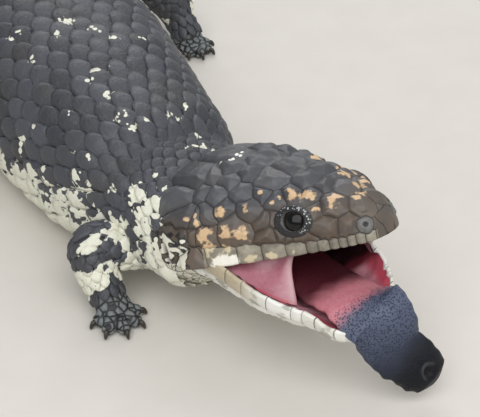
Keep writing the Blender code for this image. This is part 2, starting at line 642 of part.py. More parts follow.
def build_foot(name, path, tangents, ankle_radius, ahead, toes, hide):
    """The sole past the ankle, with toes fanned round the heading. All of it is flat on the floor below."""
    start = path[0] + tangents[0] * GAP
    sole = path[-1]
    centres = [start, start * 0.4 + sole * 0.6, sole, sole + ahead * SOLE_LENGTH]
    leans = [tangents[0], unit(tangents[0] * 0.4 + ahead * 0.6), ahead, ahead]
    widths = [ankle_radius * share for share in FOOT_WIDTHS]
    heights = [*(ankle_radius * share for share in ANKLE_HEIGHTS), *SOLE_HEIGHTS]
    across = np.cross(ahead, (0, 0, 1))
    foot = loft(name, tube_rings(centres, leans, widths, heights, across, FOOT_SIDES), hide)
    pieces = []
    for angle, length in toes:
        turn = np.radians(angle)
        way = ahead * np.cos(turn) - across * np.sin(turn)
        root = sole + way * TOE_ROOT
        tip = root + way * length
        spots = [root * (1 - f) + tip * f for f in TOE_SHARES]
        spots = [np.array([spot[0], spot[1], z]) for spot, z in zip(spots, TOE_HEIGHTS)]
        sizes = [TOE_RADIUS * f for f in TOE_SHAPE]
        sideways = np.cross(way, (0, 0, 1))
        pieces.append(loft("toe", tube_rings(spots, [way] * 4, sizes, sizes, sideways, TOE_SIDES)))
        spots = [tip + way * CLAW_LENGTH * f for f in CLAW_SHARES]
        spots = [np.array([spot[0], spot[1], z]) for spot, z in zip(spots, CLAW_HEIGHTS)]
        rings = tube_rings(spots, [way] * 3, CLAW_SIZES, CLAW_SIZES, sideways, CLAW_SIDES)
        pieces.append(loft("claw", rings))
    join(foot, pieces, FOOT_KEPT)
    for vertex in foot.data.vertices:
        if vertex.co.z < SOLE_DEPTH * MM:
            vertex.co.z = 0.0


def stand_on_origin():
    """Moves everything so that the origin is under the middle of the box, on the floor."""
    bpy.context.view_layer.update()
    nodes = [obj for obj in bpy.data.objects if obj.type == "MESH"]
    corners = np.array([vertex.co[:] for obj in nodes for vertex in obj.data.vertices])
    low, high = corners.min(0), corners.max(0)
    carrier = bpy.data.objects.new("skink", None)
    bpy.context.scene.collection.objects.link(carrier)
    carrier.location = (-(low[0] + high[0]) / 2, -(low[1] + high[1]) / 2, -low[2])
    for obj in nodes:
        obj.parent = carrier
        obj.data.set_sharp_from_angle(angle=np.radians(40))


def main():
    for obj in list(bpy.data.objects):
        bpy.data.objects.remove(obj)
    hide = make_material("hide", (0.13, 0.12, 0.115), 0.45)
    wet = make_material("tongue", (0.10, 0.14, 0.30), 0.25)
    eye = make_material("eye", (0.01, 0.01, 0.01), 0.05)
    head = build_head(hide, eye)
    jaw = build_jaw(head, hide)
    build_tongue(head, jaw, wet)
    parts = build_body(hide)
    for name, foot_name, joints, radii, heading, toes in LIMBS:
        build_limb(name, foot_name, joints, radii, heading, toes, [head, *parts], hide)
    stand_on_origin()


main()
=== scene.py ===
import bpy
import numpy as np
from mathutils import Matrix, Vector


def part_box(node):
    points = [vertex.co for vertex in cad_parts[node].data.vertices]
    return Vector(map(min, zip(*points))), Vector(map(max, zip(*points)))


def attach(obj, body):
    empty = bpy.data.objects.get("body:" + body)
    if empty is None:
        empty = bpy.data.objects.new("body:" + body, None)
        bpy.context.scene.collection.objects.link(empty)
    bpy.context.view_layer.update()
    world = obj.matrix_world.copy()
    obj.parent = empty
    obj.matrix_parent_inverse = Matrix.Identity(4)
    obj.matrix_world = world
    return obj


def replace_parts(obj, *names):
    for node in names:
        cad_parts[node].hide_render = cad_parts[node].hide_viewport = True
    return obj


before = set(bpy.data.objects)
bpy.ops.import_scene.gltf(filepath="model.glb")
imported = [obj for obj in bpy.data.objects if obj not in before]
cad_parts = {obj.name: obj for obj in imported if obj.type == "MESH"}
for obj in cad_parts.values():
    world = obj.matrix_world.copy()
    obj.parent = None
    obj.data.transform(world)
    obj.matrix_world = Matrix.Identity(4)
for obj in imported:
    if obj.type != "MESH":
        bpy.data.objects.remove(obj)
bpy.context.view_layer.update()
print("frame loaded")

mm = 0.001

pose = {
    "yaw": 28.0, "pitch": 24.0, "roll": 8.0,
    "gape": 28.5, "jawSwing": -11.0, "jawRoll": 3.0, "jawReach": 56.0 / 52.0, "jawRise": 5.0,
    "snout": np.array([0.0, 0.0, 45.0]),
    "headBack": np.array([-26.0, 50.1]),  # where the spine leaves the head, from above
    "jawPivot": np.array([-52.0, 0.0, 1.0]),
    "spineAt": [0, 15, 35, 60, 100, 140, 175, 200, 230, 262],
    "spineTurn": [20, 14, 6, 2, 0, -2, -6, -12, -22, -34],
}

bodyForm = {
    "at": [0, 12, 30, 55, 80, 110, 140, 160, 175, 188, 200, 215, 232, 244, 250],
    "half": [24, 24.2, 26.8, 31, 34.4, 37, 37, 34, 28.5, 24.5, 23.5, 23, 19.5, 12.5, 5.0],
    "back": [41, 42, 45.5, 48.5, 50.5, 51, 49.5, 46, 41.5, 37.5, 35.5, 33, 28, 20.5, 15],
    "belly": [13, 9, 2, -0.6, -0.9, -0.9, -0.9, -0.9, -0.6, 0.6, -0.4, -0.6, 0.4, 4, 8],
    "neckBlend": 36.0, "end": 250.0, "waistShare": 0.40,
    "flankPower": 0.85, "backPower": 0.9, "bellyPower": 0.55,
}

headForm = {
    "length": 63.0, "lipZ": -1.0,
    "at": [0, 1.5, 4, 8, 14, 20, 26, 34, 42, 50, 57, 63],
    "top": [3.5, 6.2, 8.4, 11.1, 14.2, 16.9, 19.2, 21.6, 23.3, 23.7, 23.3, 22.2],
    "half": [1.9, 5.8, 8.3, 11.0, 13.9, 16.4, 18.9, 22.3, 25.2, 26.8, 26.4, 24.4],
    "throatAt": [0, 41, 45.5, 49, 63],
    "throatDrop": [-2.0, -4.0, 5.0, 10.5, 12.0],
    "crownPower": 0.85, "throatPower": 0.75, "cheekPower": 0.8,
}

jawForm = {
    "at": [0, 1.5, 4, 8, 14, 20, 26, 34, 42, 50, 57, 63],
    "half": [3.6, 9.4, 12.9, 15.6, 19.2, 21.6, 22.8, 23.1, 23.0, 23.8, 24.0, 23.0],
    "depthAt": [0, 2, 8, 20, 35, 50, 63],
    "depth": [3, 5.5, 8, 11, 13.5, 15, 16],
    "bowAt": [0, 4, 10, 20, 30, 40, 52, 63],
    "bow": [-2.6, -0.7, 2.1, 2.3, 2.5, 1.9, 0.4, 0.0],  # how far the jaw arches up along its length
    "power": 0.8,
}

eyeForm = {
    "place": np.array([-21.5, 13.3, 7.6]), "axis": np.array([0.16, 0.94, 0.30]),
    "radius": 3.9, "opening": (3.15, 2.45), "lidReach": 3.0,
    "ahead": 1.2,  # how far the lids and the ball sit before the place
}


# A monotone cubic through the points (xs, ys), read at x.
def curveAt(x, xs, ys):
    xs, ys = np.asarray(xs, float), np.asarray(ys, float)
    h = np.diff(xs)
    d = np.diff(ys) / h
    m = np.zeros(len(xs))
    m[0], m[-1] = d[0], d[-1]
    w1, w2 = 2 * h[1:] + h[:-1], h[1:] + 2 * h[:-1]
    with np.errstate(divide="ignore", invalid="ignore"):
        inner = (w1 + w2) / (w1 / d[:-1] + w2 / d[1:])
    m[1:-1] = np.where(d[:-1] * d[1:] > 0, inner, 0.0)
    x = np.clip(np.asarray(x, float), xs[0], xs[-1])
    i = np.clip(np.searchsorted(xs, x, side="right") - 1, 0, len(h) - 1)
    t = (x - xs[i]) / h[i]
    return ((1 + 2 * t) * (1 - t) ** 2 * ys[i] + t * (1 - t) ** 2 * h[i] * m[i]
            + t * t * (3 - 2 * t) * ys[i + 1] + t * t * (t - 1) * h[i] * m[i + 1])


def squared(value, exponent):  # sign(v) |v|^e, which squares up a circle
    return np.sign(value) * np.abs(value) ** exponent


def ease(x):  # 3x^2 - 2x^3 between 0 and 1
    x = np.clip(x, 0.0, 1.0)
    return x * x * (3 - 2 * x)


def unit(v):
    return v / np.maximum(np.linalg.norm(v, axis=-1, keepdims=True), 1e-9)


def lengths(v):
    return np.linalg.norm(v, axis=-1)


# Two parameters over a grid, each as one flat array.
def flatGrid(first, second):
    one, two = np.meshgrid(first, second, indexing="ij")
    return one.ravel(), two.ravel()


# How far along a row of points each of them lies.
def wayAlong(points):
    return np.concatenate([[0], np.cumsum(lengths(np.diff(points, axis=0)))])


# A table of points, read on straight lines between its rows.
def readRows(x, at, table):
    return np.stack([np.interp(x, at, table[:, k]) for k in range(3)], -1)


# Forward, left and up of the head, as columns: yaw, then pitch, then roll about its own length.
def headAxes():
    yaw, pitch, roll = np.radians([pose["yaw"], pose["pitch"], pose["roll"]])
    forward = np.array([np.sin(yaw) * np.cos(pitch), -np.cos(yaw) * np.cos(pitch), np.sin(pitch)])
    level = np.array([np.cos(yaw), np.sin(yaw), 0.0])
    upright = np.cross(forward, level)
    left = level * np.cos(roll) - upright * np.sin(roll)
    return np.stack([forward, left, upright * np.cos(roll) + level * np.sin(roll)], 1)


axes = headAxes()


def fromHead(points):
    return points @ axes.T + pose["snout"]


# The closed jaw swung aside, rolled, then down about its joint. A share under 1 opens it only partly.
def opened(points, share=1.0):
    q = points - pose["jawPivot"]
    share = share + 0 * q[..., 0]
    swing, roll = np.radians(pose["jawSwing"]) * share, np.radians(pose["jawRoll"]) * share
    gape = np.radians(pose["gape"]) * share
    x, y, z = q[..., 0] * (1 + (pose["jawReach"] - 1) * share), q[..., 1], q[..., 2]
    x, y = x * np.cos(swing) - y * np.sin(swing), x * np.sin(swing) + y * np.cos(swing)
    y, z = y * np.cos(roll) - z * np.sin(roll), y * np.sin(roll) + z * np.cos(roll)
    x, z = x * np.cos(gape) + z * np.sin(gape), z * np.cos(gape) - x * np.sin(gape)
    return np.stack([x, y, z + pose["jawRise"] * share], -1) + pose["jawPivot"]


# The spine from above: its turn along the length, and its place as the sum of the steps that follow.
def spineTable():
    s = np.linspace(0, pose["spineAt"][-1], 512)
    turn = np.radians(curveAt(s, pose["spineAt"], pose["spineTurn"]))
    step = np.stack([-np.sin(turn), np.cos(turn)], 1)
    moved = (step[1:] + step[:-1]) / 2 * np.diff(s)[:, None]
    return s, turn, pose["headBack"] + np.vstack([np.zeros(2), np.cumsum(moved, 0)])


spine = spineTable()


def spineAt(s):
    at, turn, place = spine
    x, y = np.interp(s, at, place[:, 0]), np.interp(s, at, place[:, 1])
    before = np.minimum(s, 0.0)  # straight on past the front end
    x, y = x - before * np.sin(turn[0]), y + before * np.cos(turn[0])
    return x, y, np.interp(s, at, turn)


# Head: t behind the snout, angle 0 at the right lip and pi/2 on the crown. A superellipse over the lip line.
def headSkin(t, angle, lift=0.0):
    f = headForm
    half = curveAt(t, f["at"], f["half"]) + lift
    top = curveAt(t, f["at"], f["top"]) + lift
    drop = curveAt(t, f["throatAt"], f["throatDrop"]) + lift
    c, n = np.cos(angle), np.sin(angle)
    above = (top - f["lipZ"]) * squared(n, f["crownPower"])
    rise = np.where(n > 0, above, drop * squared(n, f["throatPower"]))
    return fromHead(np.stack([-t + 0 * c, -half * squared(c, f["cheekPower"]), f["lipZ"] + rise], -1))


def jawBow(t):
    return curveAt(t, jawForm["bowAt"], jawForm["bow"])


# Lower jaw: angle 0 at the right lip, pi/2 under the chin.
def jawSkin(t, angle, lift=0.0):
    f = jawForm
    half = curveAt(t, f["at"], f["half"]) + lift
    depth = curveAt(t, f["depthAt"], f["depth"]) + lift
    c, n = np.cos(angle), np.sin(angle)
    height = headForm["lipZ"] + jawBow(t) - depth * squared(n, f["power"])
    return fromHead(opened(np.stack([-t + 0 * c, -half * squared(c, f["power"]), height], -1)))


# Neck, trunk and tail: s along the spine, angle 0 at the left and pi/2 on the back. Superellipse halves,
# turning from the head's tilted section into upright ones, flattened on the floor.
def bodySkin(s, angle, lift=0.0):
    f = bodyForm
    x, y, turn = spineAt(s)
    half = curveAt(s, f["at"], f["half"])
    back = curveAt(s, f["at"], f["back"])
    belly = curveAt(s, f["at"], f["belly"])
    waist = belly + (back - belly) * f["waistShare"]
    c, n = np.cos(angle), np.sin(angle)
    side = (half + lift) * squared(c, f["flankPower"])
    above = (back + lift - waist) * squared(n, f["backPower"])
    rise = np.where(n > 0, above, (waist - belly + lift) * squared(n, f["bellyPower"]))
    trunk = np.stack([x + side * np.cos(turn), y + side * np.sin(turn), waist + rise], -1)
    moved = np.stack([x - pose["headBack"][0], y - pose["headBack"][1], 0 * x], -1)
    nape = headSkin(headForm["length"] + 0 * s, np.pi - angle, lift) + moved
    share = ease(s / f["neckBlend"])[..., None]
    skin = trunk * share + nape * (1 - share)
    skin[..., 2] = np.maximum(skin[..., 2], 0.0)
    return skin


# A point out to the left of the spine, at a height.
def besideSpine(s, out, height):
    x, y, turn = spineAt(np.float64(s))
    return np.array([x + out * np.cos(turn), y + out * np.sin(turn), height])


def eyeCentre(side):
    return fromHead(eyeForm["place"] * [1, side, 1])


# The solids are centred on their box, so the right eye's solid gives the way from this frame to theirs.
def frameShift():
    low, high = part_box("eye_right")
    return (np.array(low) + np.array(high)) / 2 - eyeCentre(-1) * mm


shift = frameShift()


def toScene(points):
    return points * mm + shift


photo = {
    "width": 480, "height": 417, "focal": 1488.0,  # pixels
    "azimuth": -27.0, "elevation": 36.0, "distance": 400.0,
    "snoutPixel": (392.0, 228.0),  # where the middle of the lips' front shows
}
pixelsPerMm = photo["focal"] / photo["distance"]


# The camera looks back along its own axis, set aside and down so that the snout falls on its pixel.
def cameraFrame():
    a, e = np.radians([photo["azimuth"], photo["elevation"]])
    back = np.array([np.sin(a) * np.cos(e), -np.cos(a) * np.cos(e), np.sin(e)])
    right = np.array([np.cos(a), np.sin(a), 0.0])
    up = np.cross(back, right)
    aside = (photo["snoutPixel"][0] - photo["width"] / 2) / photo["focal"] * photo["distance"]
    above = (photo["height"] / 2 - photo["snoutPixel"][1]) / photo["focal"] * photo["distance"]
    place = pose["snout"] - right * aside - up * above + back * photo["distance"]
    return place, right, up, back


# A new object of some data, in the scene.
def linked(name, data):
    obj = bpy.data.objects.new(name, data)
    bpy.context.scene.collection.objects.link(obj)
    return obj


# Places a camera or a lamp, which looks back along its third axis.
def aim(obj, place, right, up, back):
    turned = np.eye(4)
    turned[:3] = np.stack([right, up, back, place], 1)
    obj.matrix_world = Matrix(turned.tolist())


def makeCamera():
    place, right, up, back = cameraFrame()
    data = bpy.data.cameras.new("camera")
    data.sensor_width = 36.0
    data.lens = photo["focal"] / photo["width"] * data.sensor_width
    data.clip_start = 0.01
    camera = linked("camera", data)
    aim(camera, toScene(place), right, up, back)
    bpy.context.scene.camera = camera
    print("camera made")


# Pixels of points, and how far each lies in front of the camera.
def toPixels(points):
    place, right, up, back = cameraFrame()
    q = points - place
    depth = -(q @ back)
    x = photo["width"] / 2 + photo["focal"] * (q @ right) / depth
    y = photo["height"] / 2 - photo["focal"] * (q @ up) / depth
    return x, y, depth


# One shader value. Python arithmetic on it adds Math nodes.
class Term:
    def __init__(self, paint, socket):
        self.paint = paint
        self.socket = socket

    def math(self, kind, *others):
        return self.paint.node("ShaderNodeMath", {"operation": kind}, dict(enumerate((self, *others))))

    def __add__(self, other):
        return self.math("ADD", other)

    def __sub__(self, other):
        return self.math("SUBTRACT", other)

    def __rsub__(self, other):  # this value times -1, plus the other
        return self.math("MULTIPLY_ADD", -1.0, other)

    def __mul__(self, other):
        return self.math("MULTIPLY", other)

    __radd__ = __add__
    __rmul__ = __mul__

    def step(self, low, high):  # 0 below low, 1 above high, eased between
        return self.paint.node("ShaderNodeMapRange", {"interpolation_type": "SMOOTHSTEP"},
                               {"Value": self, "From Min": low, "From Max": high})


# A material's node tree. Every node is made by one method from its type, settings and inputs.
class Paint:
    def __init__(self, name):
        self.material = bpy.data.materials.new(name)
        self.material.use_nodes = True
        self.tree = self.material.node_tree
        self.shader = self.tree.nodes["Principled BSDF"]

    def node(self, kind, settings, inputs, output=0):
        made = self.tree.nodes.new(kind)
        for name, value in settings.items():
            setattr(made, name, value)
        for name, value in inputs.items():
            self.feed(made.inputs[name], value)
        return Term(self, made.outputs[output])

    def feed(self, socket, value):
        if isinstance(value, Term):
            self.tree.links.new(value.socket, socket)
        elif socket.type == "RGBA" and len(value) == 3:
            socket.default_value = (*value, 1.0)
        else:
            socket.default_value = value

    def set(self, **values):
        for name, value in values.items():
            self.feed(self.shader.inputs[name.replace("_", " ")], value)
        return self.material

    def attribute(self, name):
        return self.node("ShaderNodeAttribute", {"attribute_name": name}, {}, "Fac")

    def attributes(self, *names):
        return [self.attribute(name) for name in names]

    def place(self):
        return self.node("ShaderNodeTexCoord", {}, {}, "Object")

    def noise(self, scale, detail=3.0, roughness=0.55, distortion=0.0):
        return self.node("ShaderNodeTexNoise", {}, {
            "Vector": self.place(), "Scale": scale, "Detail": detail, "Roughness": roughness,
            "Distortion": distortion})

    def cells(self, scale, feature="F1"):
        inputs = {"Vector": self.place(), "Scale": scale}
        return self.node("ShaderNodeTexVoronoi", {"feature": feature}, inputs)

    def mix(self, share, first, second):
        return self.node("ShaderNodeMix", {"data_type": "RGBA"}, {"Factor": share, 6: first, 7: second}, 2)

    def layers(self, colour, *coats):  # each coat is its share and its colour, laid over what is below
        for share, coat in coats:
            colour = self.mix(share, colour, coat)
        return colour

    def bump(self, height, strength, depth):
        return self.node("ShaderNodeBump", {}, {"Height": height, "Strength": strength, "Distance": depth})


# A mesh from points in millimetres and a face array, with point attributes and, for coats, the bake map. The
# ends are triangles that close a tube.
def makeMesh(name, points, faces, material, attributes=None, bakeMap=None, ends=None):
    mesh = bpy.data.meshes.new(name)
    faces = np.asarray(faces, np.int32)
    fans = np.zeros((0, 3), np.int32) if ends is None else np.asarray(ends, np.int32)
    corners = np.concatenate([faces.ravel(), fans.ravel()])
    starts = np.append(np.arange(0, faces.size, faces.shape[1]), faces.size + np.arange(0, fans.size, 3))
    mesh.vertices.add(len(points))
    mesh.vertices.foreach_set("co", toScene(points).astype(np.float32).ravel())
    mesh.loops.add(len(corners))
    mesh.loops.foreach_set("vertex_index", corners)
    mesh.polygons.add(len(starts))
    mesh.polygons.foreach_set("loop_start", starts.astype(np.int32))
    mesh.polygons.foreach_set("use_smooth", np.ones(len(starts), bool))
    mesh.update()
    for key, values in (attributes or {}).items():
        layer = mesh.attributes.new(key, "FLOAT", "POINT")
        layer.data.foreach_set("value", np.asarray(values, np.float32).ravel())
    if bakeMap is not None:
        layer = mesh.uv_layers.new(name="OFBake")
        layer.data.foreach_set("uv", np.asarray(bakeMap, np.float32)[faces.ravel()].ravel())
    mesh.validate(clean_customdata=False)
    mesh.materials.append(material)
    obj = linked(name, mesh)
    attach(obj, "root")
    return obj


# Faces of a rows x columns grid of points; wrapped joins the last column to the first.
def gridFaces(rows, columns, wrapped=False, flipped=False):
    wide = columns if wrapped else columns - 1
    r, c = np.meshgrid(np.arange(rows - 1), np.arange(wide), indexing="ij")
    a = r * columns + c
    b = r * columns + (c + 1) % columns
    quads = np.stack([a, b, b + columns, a + columns], -1).reshape(-1, 4)
    return quads[:, ::-1] if flipped else quads


# Faces that close both ends of a flipped tube: fans round the two middle points that follow its rings.
def endFans(rows, sides):
    ring = np.arange(sides)
    after = (ring + 1) % sides
    last = (rows - 1) * sides
    middle = np.full(sides, rows * sides)
    root = np.stack([ring, after, middle], 1)
    tip = np.stack([after + last, ring + last, middle + 1], 1)
    return np.vstack([root, tip])


# A grid of rings closed at both ends: its points, with a middle point for each end, its faces and the fans.
def closedTube(grid, ends=None):
    rows, sides = grid.shape[:2]
    first, last = ends or (grid[0].mean(0), grid[-1].mean(0))
    points = np.vstack([grid.reshape(-1, 3), first, last])
    return points, gridFaces(rows, sides, wrapped=True, flipped=True), endFans(rows, sides)


# Unit normals of a skin function by small steps of both parameters.
def skinNormal(skin, t, angle, outwards=1.0, lift=0.0):
    along = skin(t + 0.4, angle, lift) - skin(t - 0.4, angle, lift)
    across = skin(t, angle + 0.015, lift) - skin(t, angle - 0.015, lift)
    return unit(np.cross(along, across)) * outwards


# Cheap smooth noise over 3-D points: a few sine waves in seeded directions.
def waves(points, size, seed, count=7):
    draw = np.random.default_rng(seed)
    ways = unit(draw.normal(size=(count, 3))) * 2 * np.pi / (size * draw.uniform(0.6, 1.6, (count, 1)))
    phase = draw.uniform(0, 2 * np.pi, count)
    return np.sin(points @ ways.T + phase).sum(-1) / np.sqrt(count)


# Pale marks on the side that the camera sees, by pixel and radius in pixels: flecks, then cream patches.
markings = {
    "flecks": [
        (68, 22, 9), (58, 38, 6), (90, 31, 6), (98, 34, 5), (115, 40, 6), (143, 42, 6), (3, 38, 5),
        (13, 41, 5), (35, 62, 5), (93, 73, 6), (89, 82, 5), (109, 96, 5), (122, 86, 3), (71, 113, 4),
        (122, 120, 6), (134, 127, 6), (145, 122, 5), (168, 117, 5), (176, 119, 4), (185, 108, 4),
        (198, 106, 3), (76, 152, 4), (92, 155, 4), (195, 137, 4), (191, 148, 5), (203, 149, 6),
        (213, 152, 5), (225, 159, 4), (236, 155, 6), (155, 177, 4), (168, 190, 5), (26, 140, 6),
        (24, 150, 5), (4, 128, 4), (36, 128, 4), (46, 168, 5), (50, 181, 6), (83, 178, 6), (80, 188, 5),
        (115, 190, 5), (97, 205, 5), (20, 35, 4), (112, 68, 4),
    ],
    "patches": [
        (76, 200, 13), (79, 178, 7), (20, 165, 8), (33, 171, 8), (91, 189, 7), (113, 188, 6),
        (139, 194, 11), (145, 213, 14), (160, 206, 9), (166, 227, 10), (143, 229, 13),
        (170, 250, 9), (155, 244, 8), (122, 224, 9), (100, 218, 9), (84, 214, 8), (174, 262, 12),
    ],
    "spread": 1.25,
    "fleckMost": 0.64, "patchFrom": 2.2,  # small flecks stay broken up, and from this radius marks are whole
    "creamAt": [-10, 0, 12, 25, 40, 60, 120, 180, 250],
    "creamHeight": [27, 27, 27, 24, 20, 18, 16, 12, 12],  # up to this height the flanks are cream
    "otherFlecks": 110, "seed": 5,
}


# Where a line of sight through each pixel meets a skin function, among points that face the camera: rows of
# both parameters and the point.
def castOnSkin(pixels, skin, tRange, angleRange, outwards=1.0):
    t, angle = flatGrid(np.linspace(*tRange, 220), np.linspace(*angleRange, 160))
    points = skin(t, angle)
    normals = skinNormal(skin, t, angle, outwards)
    facing = (unit(cameraFrame()[0] - points) * normals).sum(-1) > 0.02
    points, t, angle = points[facing], t[facing], angle[facing]
    x, y, depth = toPixels(points)
    found = []
    for px, py in pixels:
        miss = np.hypot(x - px, y - py)
        near = miss < max(3.0, miss.min() + 1.0)
        k = np.flatnonzero(near)[np.argmin(depth[near] + 3 * miss[near])]
        found.append((t[k], angle[k], *points[k]))
    return np.array(found)


# Spot centres and radii in millimetres: the seen ones from their pixels, the others drawn at random.
def placeFlecks():
    f = markings
    marks = f["flecks"] + f["patches"]
    centres = castOnSkin([m[:2] for m in marks], bodySkin, (-4, 246), (-0.6, np.pi + 0.7))[:, 2:]
    radii = np.array([m[2] for m in marks]) / pixelsPerMm * f["spread"]
    draw = np.random.default_rng(f["seed"])
    s = draw.uniform(15, 240, f["otherFlecks"])
    angle = draw.uniform(-0.3, np.pi + 0.3, f["otherFlecks"])
    points = bodySkin(s, angle)
    x, y, _ = toPixels(points)
    facing = (skinNormal(bodySkin, s, angle) * unit(cameraFrame()[0] - points)).sum(-1) > 0.1
    hidden = ~(facing & (x > -10) & (y > -10))
    return np.vstack([centres, points[hidden]]), np.append(radii, draw.uniform(1.2, 3.0, hidden.sum()))


fleckPlaces, fleckRadii = placeFlecks()


# How pale the hide is at body points: 1 inside a fleck or in the cream of the lower flank, falling past 0.
def paleness(points, s):
    f = markings
    away = np.full(len(points), 9.0)
    most = np.full(len(points), f["fleckMost"])
    for centre, radius in zip(fleckPlaces, fleckRadii):
        gone = lengths(points - centre) / radius
        whole = f["fleckMost"] + 0.5 * ease((radius - f["patchFrom"]) / 0.6)
        most = np.where((gone < away) & (gone < 2), whole, most)
        away = np.minimum(away, gone)
    fleck = np.minimum(1.35 - away + 0.3 * waves(points, 4.0, 11) + 0.2 * waves(points, 1.8, 12), most)
    height = curveAt(s, f["creamAt"], f["creamHeight"])
    low = (height - points[:, 2]) / 6.0 + 0.75 * waves(points, 17.0, 13) + 0.45 * waves(points, 6.0, 14)
    return np.clip(np.maximum(fleck, low), -1.0, 2.0)


# One overlapping scale: u across -1..1, v along 0..1. The outline is a fan with a rounded free edge. The
# height climbs from the sunk root to the free edge over a low dome. A skirt outside gives the rim its wall.
scaleForm = {
    "across": 7, "along": 6, "root": -0.9, "rim": 1.0, "waist": 0.70, "rounding": 0.34,
    "climb": 0.8, "stretch": (0.7, 2.6),  # the least and most that bends of the skin shorten or lengthen one
    "bakePatch": 0.0015,
}


# The scale's grid: places across and along, both parameters, the dome and the skirt, and its size.
def scaleTemplate():
    f = scaleForm
    u = np.linspace(-1, 1, f["across"])
    u = np.concatenate([[-1.0], u, [1.0]])
    v = np.concatenate([np.linspace(0, 1, f["along"]) ** 0.85, [1.0]])
    skirt = np.zeros((len(v), len(u)))
    skirt[:, 0] = skirt[:, -1] = skirt[-1, :] = 1.0
    vv, uu = np.meshgrid(v, u, indexing="ij")
    width = f["waist"] + (1 - f["waist"]) * np.sin(np.pi / 2 * np.minimum(vv / 0.6, 1.0))
    width = width * (1 - 0.16 * ease((vv - 0.65) / 0.35))
    x = uu * width * (1 - 0.02 * skirt)
    y = vv - f["rounding"] * np.abs(uu) ** 2.3 * ease((vv - 0.35) / 0.65)
    dome = (1 - uu ** 2) * np.sin(np.pi * np.clip(vv * 0.92 + 0.08, 0, 1)) ** 0.8
    return [a.ravel() for a in (x, y, uu, vv, dome, skirt)], (len(v), len(u))


# Scales of one coat from rows of (s, length, lift, dome, count, widening), every second row shifted by half a
# scale. A scale is (s, angle, length, width, lift, dome, turn).
def scaleRows(skin, rows, draw, start=-np.pi / 2):
    found = []
    ring = start + np.linspace(0, 2 * np.pi, 361)
    for index, (s, length, lift, dome, count, widen) in enumerate(rows):
        way = wayAlong(skin(np.full(361, s), ring))
        at = (np.arange(count) + 0.5 * (index % 2) + draw.uniform(-0.07, 0.07, count)) / count % 1.0
        size = draw.uniform(0.93, 1.07, count)
        found.append(np.stack([
            s + draw.uniform(-0.06, 0.06, count) * length, np.interp(at * way[-1], way, ring),
            length * size, way[-1] / count * widen * size,
            lift * draw.uniform(0.75, 1.25, count), dome * draw.uniform(0.7, 1.3, count),
            draw.uniform(-0.07, 0.07, count)], 1))
    return np.vstack(found)


# Millimetres of skin per radian of the section's angle, and per unit of s.
def skinScale(skin, s, angle):
    around = lengths(skin(s, angle + 0.03) - skin(s, angle - 0.03)) / 0.06
    return around, lengths(skin(s + 0.5, angle) - skin(s - 0.5, angle))


# Every scale of a coat in one mesh: the template laid on the skin at each place, raised along its normals.
def makeCoat(name, skin, scales, material, pale, wholeLength, draw):
    (x, y, u, v, dome, skirt), (tall, wide) = scaleTemplate()
    n, k = len(scales), len(x)
    around, stretch = skinScale(skin, scales[:, 0], scales[:, 1])
    s0, angle0, length, width, lift, high, turn = (column[:, None] for column in scales.T)
    across = x[None] * width / 2
    along = (y[None] - 0.5) * length / np.clip(stretch, *scaleForm["stretch"])[:, None]
    s = (s0 + along * np.cos(turn) - across * np.sin(turn)).ravel()
    angle = (angle0 + (across * np.cos(turn) + along * np.sin(turn)) / around[:, None]).ravel()
    base = skin(s, angle)
    climb = ease(v[None] / scaleForm["climb"])
    height = scaleForm["root"] * (1 - climb) + lift * climb + high * dome[None]
    height = height - skirt[None] * scaleForm["rim"] * (0.55 + 0.45 * lift)
    points = base + skinNormal(skin, s, angle) * height.reshape(-1, 1)
    points[:, 2] = np.maximum(points[:, 2], 0.05)
    quads = np.delete(gridFaces(tall, wide, flipped=True), [-(wide - 1), -1], 0)  # but the flat corners
    faces = (quads[None] + (np.arange(n) * k)[:, None, None]).reshape(-1, 4)
    centre = np.stack([scales[:, 1] / (2 * np.pi) % 1.0, scales[:, 0] / wholeLength * 0.9 + 0.05], 1)
    patch = np.stack([u, v * 2 - 1], 1) * scaleForm["bakePatch"]
    bake = (centre[:, None, :] + patch[None]).reshape(-1, 2)
    tone = np.repeat(draw.uniform(0, 1, n), k)
    attributes = {"tone": tone, "pale": pale(base, s), "edge": np.tile(v, n)}
    return makeMesh(name, points, faces, material, attributes, bake)


def hideMaterial():
    p = Paint("horny scales")
    pale, tone, edge = p.attributes("pale", "tone", "edge")
    fine = p.noise(900.0, 4.0, 0.65)
    broad = p.noise(70.0, 2.0)
    lobes = p.cells(560.0)
    speck = (pale * 1.15 - lobes * 1.05 + (fine - 0.5) * 0.35).step(0.02, 0.12)
    dark = p.layers((0.034, 0.037, 0.045),
                    (tone, (0.072, 0.077, 0.092)),
                    ((broad - 0.42) * 1.6, (0.060, 0.054, 0.050)),
                    (edge.step(0.72, 1.0) * 0.35, (0.11, 0.115, 0.13)))
    cream = p.mix((fine - 0.3) * 1.3, (0.70, 0.69, 0.56), (0.90, 0.90, 0.80))
    colour = p.mix(speck, dark, cream)
    grain = p.noise(2600.0, 3.0, 0.7)
    wrinkle = p.cells(700.0, feature="DISTANCE_TO_EDGE")
    pits = p.noise(330.0, 3.0, 0.6)
    height = grain * 0.3 + wrinkle.step(0.0, 0.12) * 0.25 + fine * 0.6 + pits * 1.6
    return p.set(Base_Color=colour, Roughness=0.34 + fine * 0.22 + speck * 0.12,
                 Normal=p.bump(height, 0.7, 0.0003))


def underskinMaterial():
    p = Paint("skin between the scales")
    pale = p.attribute("pale")
    fine = p.noise(700.0, 4.0, 0.65)
    colour = p.mix((pale + (fine - 0.5) * 0.6).step(0.5, 0.8), (0.014, 0.013, 0.014), (0.20, 0.18, 0.14))
    grain = p.cells(1500.0, feature="DISTANCE_TO_EDGE").step(0.0, 0.15)
    return p.set(Base_Color=colour, Roughness=0.6, Normal=p.bump(grain, 0.5, 0.0002))


